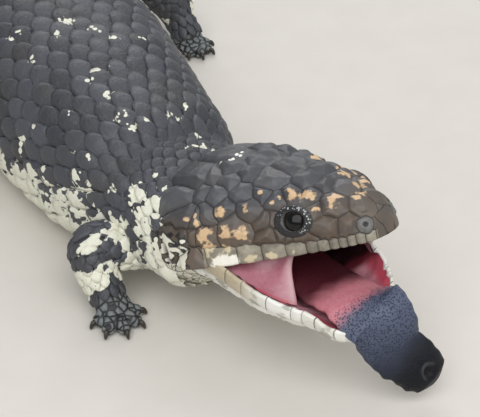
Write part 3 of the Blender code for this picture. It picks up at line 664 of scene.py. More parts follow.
coatRows = {
    "neck": {"from": 1.2, "to": 16.0, "pitch": 4.2, "count": 26, "lift": 0.75, "dome": 0.35},
    "trunk": {"from": 18.0, "to": 182.0, "pitch": 7.0, "count": 28, "lift": 1.05, "dome": 0.75},
    "tail": {"from": 188.0, "to": 243.0, "pitch": 7.6, "count": 18, "lift": 1.2, "dome": 0.9},
    "overlap": 1.62, "widen": 1.12, "seed": 21,
    "fewer": [(222, 4), (236, 5)],  # past these places a row has so many scales fewer
}


# Rows of scales over neck, trunk and tail, each region with its own pitch, and flat under the belly.
def makeBodyCoat(hide):
    draw = np.random.default_rng(coatRows["seed"])
    rows = []
    for part in ("neck", "trunk", "tail"):
        f = coatRows[part]
        steps = int(round((f["to"] - f["from"]) / f["pitch"])) + 1
        for s in np.linspace(f["from"], f["to"], steps):
            count = f["count"] - sum(less for place, less in coatRows["fewer"] if s > place)
            rows.append((s, f["pitch"] * coatRows["overlap"], f["lift"], f["dome"], count, coatRows["widen"]))
    scales = scaleRows(bodySkin, rows, draw)
    belly = np.sin(scales[:, 1]) < -0.75
    scales[belly, 4:6] *= [0.35, 0.2]  # flat under the belly
    coat = makeCoat("body_scales", bodySkin, scales, hide, paleness, bodyForm["end"], draw)
    print(f"body coat: {len(scales)} scales")
    return coat


# Shields of the head's right side and midline: pixel and rough radius in millimetres; the left side mirrors.
shields = {
    "seeds": [
        (391, 213, 3.4), (365, 202, 4.2), (380, 224, 1.6), (334, 203, 3.6), (346, 224, 2.6), (330, 224, 2.4),
        (349, 184, 3.2), (346, 171, 3.0), (338, 163, 2.0), (319, 165, 3.4), (307, 178, 3.2), (322, 183, 2.6),
        (309, 196, 3.0), (292, 194, 2.6), (317, 208, 2.0), (270, 177, 4.6), (288, 166, 3.4), (289, 155, 2.6),
        (259, 192, 2.8), (277, 200, 2.2), (242, 190, 3.0), (227, 180, 3.0), (215, 192, 2.8), (200, 192, 2.8),
        (248, 208, 3.2), (261, 224, 2.5), (266, 237, 2.5), (280, 236, 2.1), (290, 240, 1.8), (273, 222, 1.5),
        (234, 233, 5.0), (222, 210, 2.8), (205, 216, 2.8), (194, 222, 2.6), (184, 216, 2.6), (204, 240, 3.8),
        (190, 238, 2.6), (250, 172, 3.2), (232, 166, 3.2), (212, 175, 3.0), (262, 158, 3.4), (240, 154, 3.0),
        (197, 178, 2.8), (186, 194, 2.6), (379, 203, 2.6), (300, 241, 1.6), (362, 187, 2.4),
        (192, 256, 2.6), (182, 240, 2.4),
    ],
    "joints": [
        (206, 262), (239, 264), (263, 259), (287, 256), (307, 251), (318, 249), (329, 247), (339, 245),
        (348, 243), (357, 241), (366, 238), (377, 235),  # between upper labials, from the back
    ],
    "labialAt": [0, 8, 20, 27, 34, 42, 48, 56],
    "labialHeight": [3.2, 3.0, 3.3, 4.2, 4.9, 5.3, 6.0, 4.0],
    "labialEnd": 54, "noBand": 9.0,  # where there is no band, its edge is this far off
    "blotches": [
        (291.6, 194.5, 6), (307, 195.5, 9), (316, 208, 4), (331, 203, 7), (337, 197, 6), (356, 198, 6),
        (362, 192, 6), (344.7, 173, 9), (316, 157, 6), (339, 164, 4), (356, 184, 7), (364, 185, 5),
        (246, 208, 5), (220, 211, 7), (261, 192, 3), (279, 197, 3), (272, 203, 3), (226, 231, 8),
        (241, 235, 8), (227, 248, 8), (203, 234, 10), (206, 246, 10), (186, 219, 4), (196, 223, 5),
        (194, 216, 3), (250, 259, 6), (274, 255, 6), (294, 251, 5), (207, 252, 6),
    ],
    "spread": 1.02,
    "flecks": [
        (221, 163), (226, 160), (229, 159), (233, 158), (237, 156), (240, 156), (242, 154), (231, 162),
    ],
    "fleckSize": 0.9,
    "whiteLabial": (225, 262), "whiteRadius": 3.6, "whiteSize": (4.6, 4.0, 2.6),
    "nostril": (365.5, 224.5), "nostrilShield": 2.5,  # the pixel of its middle, and the shield's radius
    "ear": (-60.0, 24.6, 3.0), "earSize": (1.6, 6, 3.4), "earDepth": 2.2,
    "seed": 8, "groove": 0.34, "depth": 0.42, "bulge": 0.85,
    "rows": 250, "columns": 300, "sheet": 65.9,  # the sheet's samples, and its length behind the snout
    "turnIn": [(0.35, -0.25), (1.0, -0.3), (1.7, 0.1), (2.0, 1.6)],  # the lip's steps inwards and upwards
}


# Points as the head has them, from the snout: forward, left and up.
def headLocal(points):
    return (points - pose["snout"]) @ axes


# Power diagram: the cell of a point has the least |p - seed|^2 - r^2. Gives the cell and how far its edge is.
def cellsOf(points, seeds, radii):
    cell = np.empty(len(points), int)
    edge = np.empty(len(points))
    for start in range(0, len(points), 4000):
        block = points[start:start + 4000]
        cost = ((block[:, None] - seeds[None]) ** 2).sum(-1) - radii ** 2
        order = np.argpartition(cost, 4, axis=1)[:, :5]
        near = np.take_along_axis(cost, order, 1)
        rank = np.argsort(near, 1)
        order, near = np.take_along_axis(order, rank, 1), np.take_along_axis(near, rank, 1)
        apart = np.linalg.norm(seeds[order[:, 1:]] - seeds[order[:, :1]], axis=-1)
        cell[start:start + 4000] = order[:, 0]
        edge[start:start + 4000] = ((near[:, 1:] - near[:, :1]) / (2 * apart + 1e-6)).min(1)
    return cell, edge


# An eye's middle, its axis outwards, and the two directions across it: ahead and down.
def eyeFrame(side):
    ahead = axes[:, 0]
    away = unit(axes @ (eyeForm["axis"] * [1, side, 1]))
    first = unit(ahead - away * (ahead @ away))
    return eyeCentre(side) + ahead * eyeForm["ahead"], away, first, np.cross(away, first) * side


orbit = {  # rings round an eye, in half axes of its opening
    "rim": 1.06, "rimWidth": 0.075, "beads": (1.26, 1.66), "granules": 1.74, "groove": 1.8, "reach": 2.4,
    "crest": 1.35, "lidEnd": 3.2, "behind": -4,  # the last one in millimetres along its axis
}


# Round an eye: distance over the opening's half axes, millimetres ahead and down, and height along its axis.
def aroundEye(points, side):
    centre, away, first, second = eyeFrame(side)
    d = points - centre
    a, b = d @ first, d @ second
    return np.hypot(a / eyeForm["opening"][0], b / eyeForm["opening"][1]), a, b, d @ away


# The head's points that show at some pixels.
def onHead(pixels):
    return castOnSkin(pixels, headSkin, (0.3, 66), (0.02, np.pi - 0.02), -1.0)[:, 2:]


# Middles and radii of the head's shields, from their pixels and mirrored.
def shieldSeeds():
    local = headLocal(onHead([m[:2] for m in shields["seeds"]]))
    radii = np.array([m[2] for m in shields["seeds"]])
    middle = np.abs(local[:, 1]) < radii * 0.55
    local[middle, 1] = 0.0
    right = local[:, 1] < 0
    places = [local[middle], local[right], local[right] * [1, -1, 1]]
    return np.vstack(places), np.concatenate([radii[middle], radii[right], radii[right]])


# Blotches and white marks by distance from their middles, over the radius and broken up by waves: two masks.
def headMarks(local, labial):
    f = shields
    marks = f["blotches"] + [f["whiteLabial"]]
    spots = headLocal(onHead([m[:2] for m in marks]))
    reach = np.append(np.array([m[2] for m in f["blotches"]]) / pixelsPerMm * f["spread"], f["whiteRadius"])
    away = np.full(len(local), 9.0)
    for spot, radius in zip(spots, reach):
        for side in (1, -1) if spot[1] < -4 else (1,):
            gap = lengths(local - spot * [1, side, 1]) / radius
            away = np.minimum(away, gap + (0.0 if side == 1 else 0.12))
    pale = 1.3 - away + 0.3 * waves(local, 3.2, 33) + 0.2 * waves(local, 1.5, 34)
    gone = [lengths((local - spots[-1] * [1, side, 1]) / f["whiteSize"]) for side in (1, -1)]
    white = np.where(labial, 1.3 - np.minimum(*gone) + 0.08 * waves(local, 2.0, 40), -1.0)
    for spot in headLocal(onHead(f["flecks"])):
        white = np.maximum(white, 1.0 - lengths(local - spot) / f["fleckSize"])
    return pale, white


# A sheet whose long edges turn inwards round the lip: columns added on both sides by steps of (inwards,
# upwards), with the first row closed at the tip.
def turnedLip(points, t, up, steps):
    grid = points.reshape(len(t), -1, 3)
    inwards = axes[:, 1] * ease(t / 3.0)[:, None]
    right = [grid[:, :1] + (inwards * a + up * b)[:, None] for a, b in steps[::-1]]
    left = [grid[:, -1:] + (up * b - inwards * a)[:, None] for a, b in steps]
    grid = np.concatenate(right + [grid] + left, 1)
    grid[0] = (grid[0, 0] + grid[0, -1]) / 2
    return grid.reshape(-1, 3)


# Point values of such a sheet, repeated over the added columns.
def lipValues(t, **values):
    added = ((0, 0), (4, 4))
    grids = {key: column.reshape(len(t), -1) for key, column in values.items()}
    return {key: np.pad(grid, added, mode="edge").ravel() for key, grid in grids.items()}


# The head's outer sheet: lips, labials, shields with grooves, lids, nostril and ear.
def makeHead(material):
    f = shields
    t = np.append(0.0, 0.12 + f["sheet"] * np.linspace(0, 1, f["rows"]) ** 1.15)
    at, angle = flatGrid(t, np.linspace(0, np.pi, f["columns"]))
    base = headSkin(at, angle)
    normal = skinNormal(headSkin, np.maximum(at, 0.6), angle, -1.0)
    local = headLocal(base)
    seeds, radii = shieldSeeds()
    warp = np.stack([waves(local, 6.5, seed) for seed in (35, 36, 37)], 1) * 0.42
    cell, edge = cellsOf(local + warp, seeds, radii)
    draw = np.random.default_rng(f["seed"])
    tone = draw.uniform(0, 1, len(seeds))[cell]
    # labials: a band along the lip with a joint between each two
    lipHeight = local[:, 2] - headForm["lipZ"]
    band = curveAt(at, f["labialAt"], f["labialHeight"]) * (at < f["labialEnd"])
    joints = np.sort(castOnSkin(f["joints"], headSkin, (0.3, 66), (0.01, 0.8), -1.0)[:, 0])
    toJoint = np.abs(at[:, None] - joints[None]).min(1)
    band = band - 0.7 * np.exp(-toJoint / 0.6) + 0.15 * waves(local, 3.0, 45)
    labial = (lipHeight < band) & (at > joints[0]) & (at < joints[-1] + 0.5)
    toBand = np.where(at > joints[0], np.abs(lipHeight - band), f["noBand"])
    edge = np.where(labial, np.minimum(toJoint, toBand), np.minimum(edge, toBand))
    tone = np.where(labial, draw.uniform(0, 1, 40)[np.searchsorted(joints, at)], tone)
    size = np.where(labial, 2.2, np.maximum(radii[cell], 0.6))
    # round each eye: granules, a ring of beads and the lid's rim
    granules, beads, rim, inside = np.zeros((4, len(base)))
    for side in (-1, 1):
        q, a, _, high = aroundEye(base, side)
        above = (base - eyeFrame(side)[0]) @ axes[:, 2]
        beside = high > orbit["behind"]
        granules = np.maximum(granules, beside * (1 - ease((q - orbit["granules"]) / 0.12)))
        ringEdge = np.abs(q - orbit["groove"]) * 2.9  # millimetres, roughly
        ringEdge = np.minimum(ringEdge, np.where(q < orbit["groove"], 9.0, edge))
        edge = np.where(beside & (q < orbit["reach"]), ringEdge, edge)
        band = ease((q - orbit["beads"][0]) / 0.12) * (1 - ease((q - orbit["beads"][1]) / 0.14))
        beads = np.maximum(beads, beside * band * ease((0.8 * a + above + 1.6) / 1.6))
        rim = np.maximum(rim, beside * np.exp(-((q - orbit["rim"]) / orbit["rimWidth"]) ** 2))
    nostril = headLocal(onHead([f["nostril"]]))
    nostril = np.vstack([nostril, nostril * [1, -1, 1]])
    toNostril = lengths(local[:, None] - nostril[None]).min(1) + 0.14 * waves(local, 3.0, 46)
    labial = labial & (toNostril > f["nostrilShield"])
    shieldEdge = np.where(toNostril < f["nostrilShield"], 9.0, edge)
    shieldEdge = np.minimum(np.abs(toNostril - f["nostrilShield"]), shieldEdge)
    edge = np.where(toNostril < 3.6, shieldEdge, edge)
    # relief: grooves at the edges, bulging and tilted shields, flatter towards the snout's tip
    rise = f["depth"] * (1 - np.exp(-(edge / f["groove"]) ** 2))
    rise = rise + f["bulge"] * ease(edge / size) * np.minimum(size / 2.6, 1.3)
    tilt = 0.09 * (at + seeds[cell, 0]) * ~labial
    rise = rise + np.clip(tilt, -0.3, 0.3) * ease(edge / 0.9) - 0.75
    rise = rise * (1 - granules) - 0.15 * granules
    rise = rise + 0.05 * waves(local, 2.4, 31) + 0.06 * waves(local, 6.0, 32)
    front = ease(at / 5.0)
    rise = rise * front - 0.2 * (1 - front)
    points = base + normal * rise[:, None]
    # lids: raised to a crest over the ball, then sunk inside the opening, whose inner wall is marked for
    # painted shade
    for side in (-1, 1):
        q, a, b, high = aroundEye(points, side)
        near = (high > orbit["behind"]) & (q < orbit["lidEnd"])
        ball = np.sqrt(np.maximum(eyeForm["radius"] ** 2 - a * a - b * b, 0.5))
        lid = np.sqrt(eyeForm["radius"] ** 2 - eyeForm["lidReach"] ** 2) + 0.25 + rise * 0.8 + 0.3
        crest = (lid - high) * (1 - ease((q - orbit["crest"]) / 1.35))
        sunk = np.minimum(ball - 1.5, lid - 1.2) - high
        moved = crest + (sunk - crest) * (1 - ease((q - 0.98) / 0.14))
        points = points + (eyeFrame(side)[1] * moved[:, None]) * near[:, None]
        inside = np.maximum(inside, near * (1 - ease((q - 1.12) / 0.22)))
    # nostril with a low rim, and the ear's hollow, each marked for painted shade inside
    points = points - normal * (0.5 * (1 - ease((toNostril - 0.35) / 0.7)))[:, None]
    points = points + normal * (0.12 * np.exp(-((toNostril - 1.5) / 0.5) ** 2))[:, None]
    inside = np.maximum(inside, 1 - ease((toNostril - 0.4) / 0.5))
    ears = fromHead(np.array([np.array(f["ear"]) * [1, side, 1] for side in (-1, 1)]))
    hole = lengths(((base[:, None] - ears[None]) @ axes) / f["earSize"]).min(1)
    points = points - normal * (f["earDepth"] * (1 - ease((hole - 0.5) / 0.6)))[:, None]
    inside = np.maximum(inside, 1 - ease((hole - 0.6) / 0.5))
    pale, white = headMarks(local, labial)
    cream = ease((at - 49) / 4) * ease((11 - local[:, 2]) / 6)
    mottle = cream * (0.62 + 0.45 * waves(local, 4.0, 38) + 0.4 * waves(local, 1.6, 39))
    # inside carries the painted shade of the lids' inner walls, the nostrils and the ears' hollows
    attributes = lipValues(
        t, tone=tone, groove=edge, pale=pale, white=white, labial=labial.astype(float), ring=granules,
        inside=inside, high=ease((local[:, 2] - 7.0) / 9.0), nasal=1 - ease((toNostril - 2.0) / 0.5),
        beads=beads, rim=rim, mottle=mottle)
    points = turnedLip(points, t, axes[:, 2] * ease(t / 3.0)[:, None], f["turnIn"])
    faces = gridFaces(len(t), len(points) // len(t))
    head = makeMesh("head_skin", points, faces, material, attributes)
    print(f"head skin: {len(seeds)} shields")
    return head


def shieldMaterial():
    p = Paint("head shields")
    tone, groove, pale, white = p.attributes("tone", "groove", "pale", "white")
    high, nasal, labial, ring = p.attributes("high", "nasal", "labial", "ring")
    inside, beads, rim, mottle = p.attributes("inside", "beads", "rim", "mottle")
    fine = p.noise(1100.0, 4.0, 0.65)
    broad = p.noise(160.0, 3.0, 0.6)
    crown = p.mix(tone, (0.052, 0.054, 0.062), (0.090, 0.092, 0.102))
    cheek = p.mix(tone, (0.074, 0.062, 0.052), (0.125, 0.104, 0.086))
    cheek = p.mix((broad - 0.42) * 2.2, cheek, (0.15, 0.092, 0.050))
    shield = p.mix(high + (broad - 0.55) * 0.9, cheek, crown)
    shield = p.mix(nasal, shield, p.mix(fine, (0.085, 0.083, 0.080), (0.21, 0.21, 0.205)))
    lips = p.layers((0.24, 0.215, 0.17),
                    (tone, (0.37, 0.335, 0.26)),
                    ((fine - 0.35) * 1.2, (0.16, 0.14, 0.11)),
                    ((broad - 0.45) * 3.0, (0.11, 0.092, 0.072)))
    orange = p.mix((fine - 0.3) * 1.4, (0.60, 0.39, 0.21), (0.74, 0.58, 0.38))
    orange = p.mix(labial * 0.8, orange, (0.62, 0.56, 0.38))
    seam = 1.0 - (groove + (fine - 0.5) * 0.10).step(0.03, 0.24)
    grains = p.cells(1500.0)
    colour = p.layers(shield,
                      (labial, lips),
                      ((pale + (fine - 0.5) * 1.1).step(0.40, 0.85), orange),
                      ((white + (fine - 0.5) * 0.5).step(0.3, 0.5), (0.90, 0.88, 0.78)),
                      (mottle.step(0.10, 0.30), (0.014, 0.014, 0.015)),
                      ((mottle + (fine - 0.5) * 0.5).step(0.42, 0.58), (0.78, 0.76, 0.64)),
                      (seam * 0.9, (0.012, 0.010, 0.010)),
                      (ring, (0.022, 0.022, 0.024)),
                      (beads * (1.0 - grains.step(0.28, 0.46)), (0.50, 0.52, 0.52)),
                      # painted shade: near black inside the lids, the nostrils and the ears' hollows
                      (inside, (0.006, 0.006, 0.006)),
                      (rim, (0.20, 0.19, 0.18)))
    grain = p.noise(2600.0, 3.0, 0.7)
    height = grain * 0.4 + fine * 0.5 + (1.0 - grains.step(0.0, 0.5)) * ring * 1.5
    return p.set(Base_Color=colour, Roughness=0.33 + fine * 0.22 + seam * 0.2,
                 Normal=p.bump(height, 0.5, 0.0002))


jawDetail = {
    "joints": [
        (224, 276), (240, 292), (265, 301), (291, 309), (301, 314), (314, 322), (329, 330), (343, 338),
    ],
    "labialAt": [0, 8, 20, 30, 40, 50, 60], "labialHeight": [4.0, 4.0, 4.2, 4.6, 5.0, 5.0, 4.0],
    "labialEnd": 50, "rowStep": 4.6, "columnStep": 5.2, "seed": 14,
    "rows": 200, "columns": 240, "sheet": 63.0,
    "turnIn": [(0.3, 0.3), (0.9, 0.4), (1.5, 0.15), (1.9, -0.8)],
}


# The lower jaw's outer sheet: labials with dark joints along the lip, rows of flat shields under the chin.
def makeJaw(material):
    f = jawDetail
    t = np.append(0.0, 0.12 + f["sheet"] * np.linspace(0, 1, f["rows"]) ** 1.12)
    at, angle = flatGrid(t, np.linspace(0, np.pi, f["columns"]))
    base = jawSkin(at, angle)
    normal = skinNormal(jawSkin, np.maximum(at, 0.6), angle)
    drop = curveAt(at, jawForm["depthAt"], jawForm["depth"]) * squared(np.sin(angle), jawForm["power"])
    draw = np.random.default_rng(f["seed"])
    seeds = []
    for row, place in enumerate(np.arange(3.5, 66, f["rowStep"])):
        ring = jawSkin(np.full(181, place), np.linspace(0, np.pi, 181))
        way = wayAlong(ring)
        count = max(3, int(round(way[-1] / f["columnStep"])))
        spots = (np.arange(count) + 0.25 + 0.5 * (row % 2)) / count * way[-1]
        seeds.append(readRows(spots, way, ring))
    seeds = np.vstack(seeds)
    seeds = seeds + draw.normal(0, 0.25, seeds.shape)
    cell, edge = cellsOf(base, seeds, draw.uniform(0.8, 1.6, len(seeds)))
    band = curveAt(at, f["labialAt"], f["labialHeight"])
    labial = (drop < band) & (at < f["labialEnd"])
    found = np.sort(castOnSkin(f["joints"], jawSkin, (0.3, 60), (0.01, 1.2))[:, 0])
    joints = np.concatenate([[-5.0, 3.0], found[found > 5]])
    toJoint = np.abs(at[:, None] - joints[None]).min(1)
    toBand = np.where(at < f["labialEnd"], np.abs(drop - band), shields["noBand"])
    edge = np.where(labial, np.minimum(toJoint, toBand), np.minimum(edge, toBand))
    lipTone = draw.uniform(0, 1, 40)[np.searchsorted(joints, at)]
    tone = np.where(labial, lipTone, draw.uniform(0, 1, len(seeds))[cell])
    rise = 0.45 * (1 - np.exp(-(edge / 0.4) ** 2)) + 0.35 * ease(edge / 2.2) - 0.55
    rise = np.where(labial, rise * 0.5, rise)
    rise = rise * ease(at / 2.0 + 0.25) + 0.05 * waves(base, 2.4, 41)
    warm = ease((at - 20) / 10) * (1 - ease((drop - 3.0) / 3.5))
    fleck = waves(base, 7.0, 42) * 0.5 + waves(base, 3.0, 43) * 0.3
    attributes = lipValues(t, tone=tone, groove=edge, warm=warm, pale=fleck)
    up = axes @ turnedDown(np.array([0.0, 0.0, 1.0]))
    points = turnedLip(base + normal * rise[:, None], t, up, f["turnIn"])
    faces = gridFaces(len(t), len(points) // len(t), flipped=True)
    jaw = makeMesh("jaw_skin", points, faces, material, attributes)
    print(f"jaw skin: {len(seeds)} shields")
    return jaw


throatForm = {"jawAt": 45.0, "neckAt": 6.0, "lift": 1.1, "sag": 1.6}


# The throat's skin, from the rear of the open jaw to the neck's underside, sagging a little between them.
def makeThroat(material):
    f = throatForm
    share, angle = flatGrid(np.linspace(0, 1, 60), np.linspace(0.0, np.pi, 150))
    front = jawSkin(f["jawAt"] + 8 * share, angle, -0.25)
    lift = f["lift"] * (1 - ease((share - 0.75) / 0.25))
    rear = bodySkin(f["neckAt"] - 8 * (1 - share), np.pi + angle, lift)
    points = front * (1 - ease(share))[:, None] + rear * ease(share)[:, None]
    points[:, 2] -= f["sag"] * np.sin(np.pi * share) * np.sin(angle)
    relief = 0.12 * waves(points, 2.2, 91) + 0.2 * waves(points, 7.0, 92)
    points[:, 2] = np.maximum(points[:, 2] + relief, 0.05)
    return makeMesh("throat_skin", points, gridFaces(60, 150, flipped=True), material)


def throatMaterial():
    p = Paint("throat skin")
    fine = p.noise(1000.0, 4.0, 0.65)
    broad = p.noise(230.0, 3.0, 0.65)
    cell = p.cells(400.0, feature="DISTANCE_TO_EDGE")
    scale = cell.step(0.01, 0.08)
    cream = p.mix(fine, (0.60, 0.57, 0.45), (0.80, 0.78, 0.68))
    colour = p.mix((broad + (fine - 0.5) * 0.4).step(0.33, 0.40), (0.030, 0.030, 0.030), cream)
    colour = p.mix(scale, (0.16, 0.15, 0.12), colour)
    height = cell.step(0.0, 0.3) + fine * 0.3
    return p.set(Base_Color=colour, Roughness=0.42 + fine * 0.2, Normal=p.bump(height, 0.8, 0.0004))


# A direction of the closed jaw after it swings open.
def turnedDown(way):
    return opened(pose["jawPivot"] + way) - opened(pose["jawPivot"])


def jawMaterial():
    p = Paint("jaw shields")
    tone, groove, warm, pale = p.attributes("tone", "groove", "warm", "pale")
    fine = p.noise(1000.0, 4.0, 0.65)
    brown = p.mix((fine - 0.3) * 1.5, (0.46, 0.38, 0.26), (0.62, 0.55, 0.40))
    seam = 1.0 - (groove + (fine - 0.5) * 0.1).step(0.03, 0.22)
    colour = p.layers((0.72, 0.70, 0.62),
                      (tone, (0.88, 0.87, 0.82)),
                      ((pale + (fine - 0.5)).step(0.25, 0.75) * 0.7, (0.25, 0.24, 0.20)),
                      (warm, brown),
                      (seam, (0.02, 0.018, 0.016)))
    height = fine * 0.5 + p.noise(2600.0, 3.0, 0.7) * 0.4
    return p.set(Base_Color=colour, Roughness=0.38 + fine * 0.2, Normal=p.bump(height, 0.45, 0.0002))


mouth = {
    "inset": 2.6, "floorInset": 1.2,
    "vaultAt": [0, 4, 10, 20, 32, 44, 60], "vault": [0.6, 1.6, 3.0, 4.8, 6.0, 6.2, 5.5],
    "floorAt": [0, 4, 10, 20, 35, 60], "floorDrop": [1.0, 3.2, 5.2, 6.6, 7.4, 7.4],
    "back": 44.0, "bowl": 14, "creases": 0.35,
    "roofShade": (22, 14), "floorShade": (18, 9),  # from where, and over how far, painted shade darkens it towards the throat
    # the cheek's web, from the corner of the mouth to its fold and on into the throat; past its dark share it
    # is painted shade
    "webShare": [0, 0.3, 0.55, 0.66, 0.74, 0.85, 1],
    "right": {"upper": [45.5, 35, 26, 24, 26, 34, 48], "lower": [45.5, 30, 18, 16, 18.5, 28, 46],
              "inset": [1.2, 2.6, 5.6, 7.6, 9.4, 11.5, 14.0], "dark": 0.70},
    "left": {"upper": [45.5, 36, 29, 26, 24, 23, 22], "lower": [45.5, 34, 26, 22, 20, 19, 18],
             "inset": [1.2, 1.8, 2.2, 2.4, 2.5, 2.6, 2.6], "dark": 2.0},
}


# Roof, gullet and floor as one bag: back under the palate, round the throat's end, out along the jaw, painted
# dark as shade towards the throat.
def makeMouthLining(material):
    f = mouth
    w = np.linspace(-1, 1, 81)
    blank = 0 * w
    roofAt = np.linspace(0.9, f["back"], 80)
    rows, throatShade, gum = [], [], []
    half = curveAt(roofAt, headForm["at"], headForm["half"]) - f["inset"]
    vault = curveAt(roofAt, f["vaultAt"], f["vault"])
    for at, reach, high in zip(roofAt, half, vault):
        z = headForm["lipZ"] + 1.2 + high * (1 - np.abs(w) ** 3)
        rows.append(fromHead(np.stack([blank - at, reach * w, z], 1)))
        throatShade.append(blank + ease((at - f["roofShade"][0]) / f["roofShade"][1]))
        gum.append(np.abs(w))
    for turn in np.linspace(0.04, 0.96, 26):  # the back of the throat, a bowl behind the jaw's joint
        bend = np.sin(np.pi * turn)
        at = f["back"] + f["bowl"] * bend * (1 - 0.55 * w ** 2)
        reach = half[-1] * (1 - 0.35 * bend)
        high = vault[-1] * (1 - turn) - f["floorDrop"][-1] * turn
        z = headForm["lipZ"] + 1.2 - turn + jawBow(f["back"]) * turn + high * (1 - np.abs(w) ** 3)
        rows.append(fromHead(opened(np.stack([-at, reach * w, z], 1), turn)))
        # the throat's bowl is painted shade all over
        throatShade.append(blank + 1.0)
        gum.append(blank)
    floorAt = np.linspace(f["back"], 0.9, 90)
    half = curveAt(floorAt, jawForm["at"], jawForm["half"]) - f["floorInset"]
    drop = curveAt(floorAt, f["floorAt"], f["floorDrop"])
    for at, reach, low in zip(floorAt, half, drop):
        z = headForm["lipZ"] + jawBow(at) + 0.2 - low * (1 - np.abs(w) ** 2.6)
        rows.append(fromHead(opened(np.stack([blank - at, reach * w, z], 1))))
        throatShade.append(blank + ease((at - f["floorShade"][0] + 4 * w ** 2) / f["floorShade"][1]))
        gum.append(np.abs(w))
    points = np.concatenate(rows)
    points = points + (0.25 * waves(points, 7.0, 51) + 0.1 * waves(points, 2.5, 52))[:, None] * axes[:, 2]
    attributes = {"throatShade": np.concatenate(throatShade), "gum": np.concatenate(gum), "fold": np.zeros(len(points))}
    return makeMesh("mouth_lining", points, gridFaces(len(rows), len(w)), material, attributes)


# The cheek's web at each corner of the mouth: forwards from the corner to a fold, then inwards to the throat,
# where it is painted dark as shade.
def makeCheeks(material):
    f = mouth
    across, down = 90, 60
    a = np.linspace(0, 1, across)[:, None]
    b = np.linspace(0, 1, down)[None, :]
    bow = np.sin(np.pi * b)
    points, folds, webShades, faces = [], [], [], []
    for side, web in ((-1, f["right"]), (1, f["left"])):
        upper = curveAt(a, f["webShare"], web["upper"])
        lower = curveAt(a, f["webShare"], web["lower"])
        t = upper * (1 - b) + lower * b + bow * 3.4 * ease(a / 0.6)
        inset = curveAt(a, f["webShare"], web["inset"])
        inset = inset + 2.4 * bow * np.sin(np.pi * np.minimum(a / 0.66, 1.0)) * (side < 0)
        inset = inset + f["creases"] * np.sin(26 * a + 4 * b) * bow * (1 - ease((a - 0.5) / 0.2))
        top = curveAt(t, headForm["at"], headForm["half"])
        low = curveAt(t, jawForm["at"], jawForm["half"])
        z = headForm["lipZ"] + 1.6 * (1 - b) + (jawBow(t) - 0.6 - 0.36 * inset) * b
        flat = np.stack([-t, side * (top * (1 - b) + low * b - inset), z], -1)
        faces.append(gridFaces(across, down, flipped=side > 0) + len(points) * across * down)
        points.append(fromHead(opened(flat, b + 0 * a)).reshape(-1, 3))
        folds.append((np.exp(-((a - web["dark"] + 0.08) / 0.035) ** 2) + 0 * b).ravel())
        # painted shade on the web's part inside the throat
        webShades.append((ease((a - web["dark"]) / 0.12) + 0 * b).ravel())
    attributes = {"throatShade": np.concatenate(webShades), "fold": np.concatenate(folds),
                  "gum": np.tile((np.abs(2 * b - 1) ** 3 + 0 * a).ravel(), 2)}
    points, faces = np.concatenate(points), np.concatenate(faces)
    return makeMesh("cheek_webs", points, faces, material, attributes)


def mucosaMaterial():
    p = Paint("wet mouth lining")
    throatShade, gum, fold = p.attributes("throatShade", "gum", "fold")
    broad = p.noise(110.0, 3.0, 0.6, distortion=0.6)
    fine = p.noise(900.0, 4.0, 0.6)
    colour = p.layers((0.40, 0.13, 0.17),
                      ((broad - 0.3) * 2.2, (0.52, 0.28, 0.32)),
                      ((fine - 0.45) * 1.2, (0.36, 0.06, 0.10)),
                      ((gum - 0.74).step(0.0, 0.14) * 0.75, (0.46, 0.04, 0.07)),
                      (fold * 0.55, (0.60, 0.42, 0.42)),
                      # painted shade: dark red, then near black, deeper towards the throat
                      (throatShade.step(0.05, 0.5), (0.11, 0.015, 0.022)),
                      (throatShade.step(0.5, 0.95), (0.010, 0.003, 0.004)))
    height = broad * 0.6 + fine * 0.4
    return p.set(Base_Color=colour, Roughness=0.24 + fine * 0.15, Normal=p.bump(height, 0.35, 0.0006))


tongueForm = {
    "inside": [(38, -2.6), (28, -2.2), (18, -1.7), (10, -0.2), (4, 0.7), (0, 0.9)],
    "outside": [(-5.7, -14.6, 15.5), (-1.4, -18.2, 11.2), (3.8, -21.4, 5.6)],
    "share": [0, 0.15, 0.5, 0.65, 0.8, 0.93, 1.0],
    "half": [7, 10.5, 10.5, 9.6, 8.2, 6.8, 4.8],
    "thick": [4, 5, 5.2, 5.4, 5.8, 5.8, 3.6],
    "twistAt": [0.0, 0.47, 0.64, 1.0], "twist": [0, 0, -42, -42],  # degrees about its own length
    "rounding": 0.035, "sides": 140, "grooveWidth": 0.16, "grooveDepth": 0.5, "ripple": 0.35,
    "curlPixel": (432, 372), "curlRadius": 2.6, "curlWay": (-0.7, 0.7, 0.4),  # the side that rolls up
    "curlRidge": 0.8, "curlDimple": 1.1,
}


# A smooth path through a few points: count places evenly along it, and each one's share of the way.
def smoothPath(points, count):
    points = np.asarray(points, float)
    way = wayAlong(points)
    at = np.linspace(0, way[-1], count)
    return np.stack([curveAt(at, way, points[:, k]) for k in range(3)], 1), at / way[-1]


# An oval carried along a path: width along the given side direction, height across it.
def tubeGrid(path, width, height, left, sides, twist=0.0):
    along = unit(np.gradient(path, axis=0))
    side = unit(left - along * (along @ left)[:, None])
    up = np.cross(side, along)
    twist = (np.zeros(len(path)) + twist)[:, None]
    side, up = side * np.cos(twist) + up * np.sin(twist), up * np.cos(twist) - side * np.sin(twist)
    angle = np.arange(sides) * 2 * np.pi / sides
    ring = np.cos(angle)[None, :, None] * (width[:, None] * side)[:, None]
    return path[:, None] + ring + np.sin(angle)[None, :, None] * (height[:, None] * up)[:, None], side, up


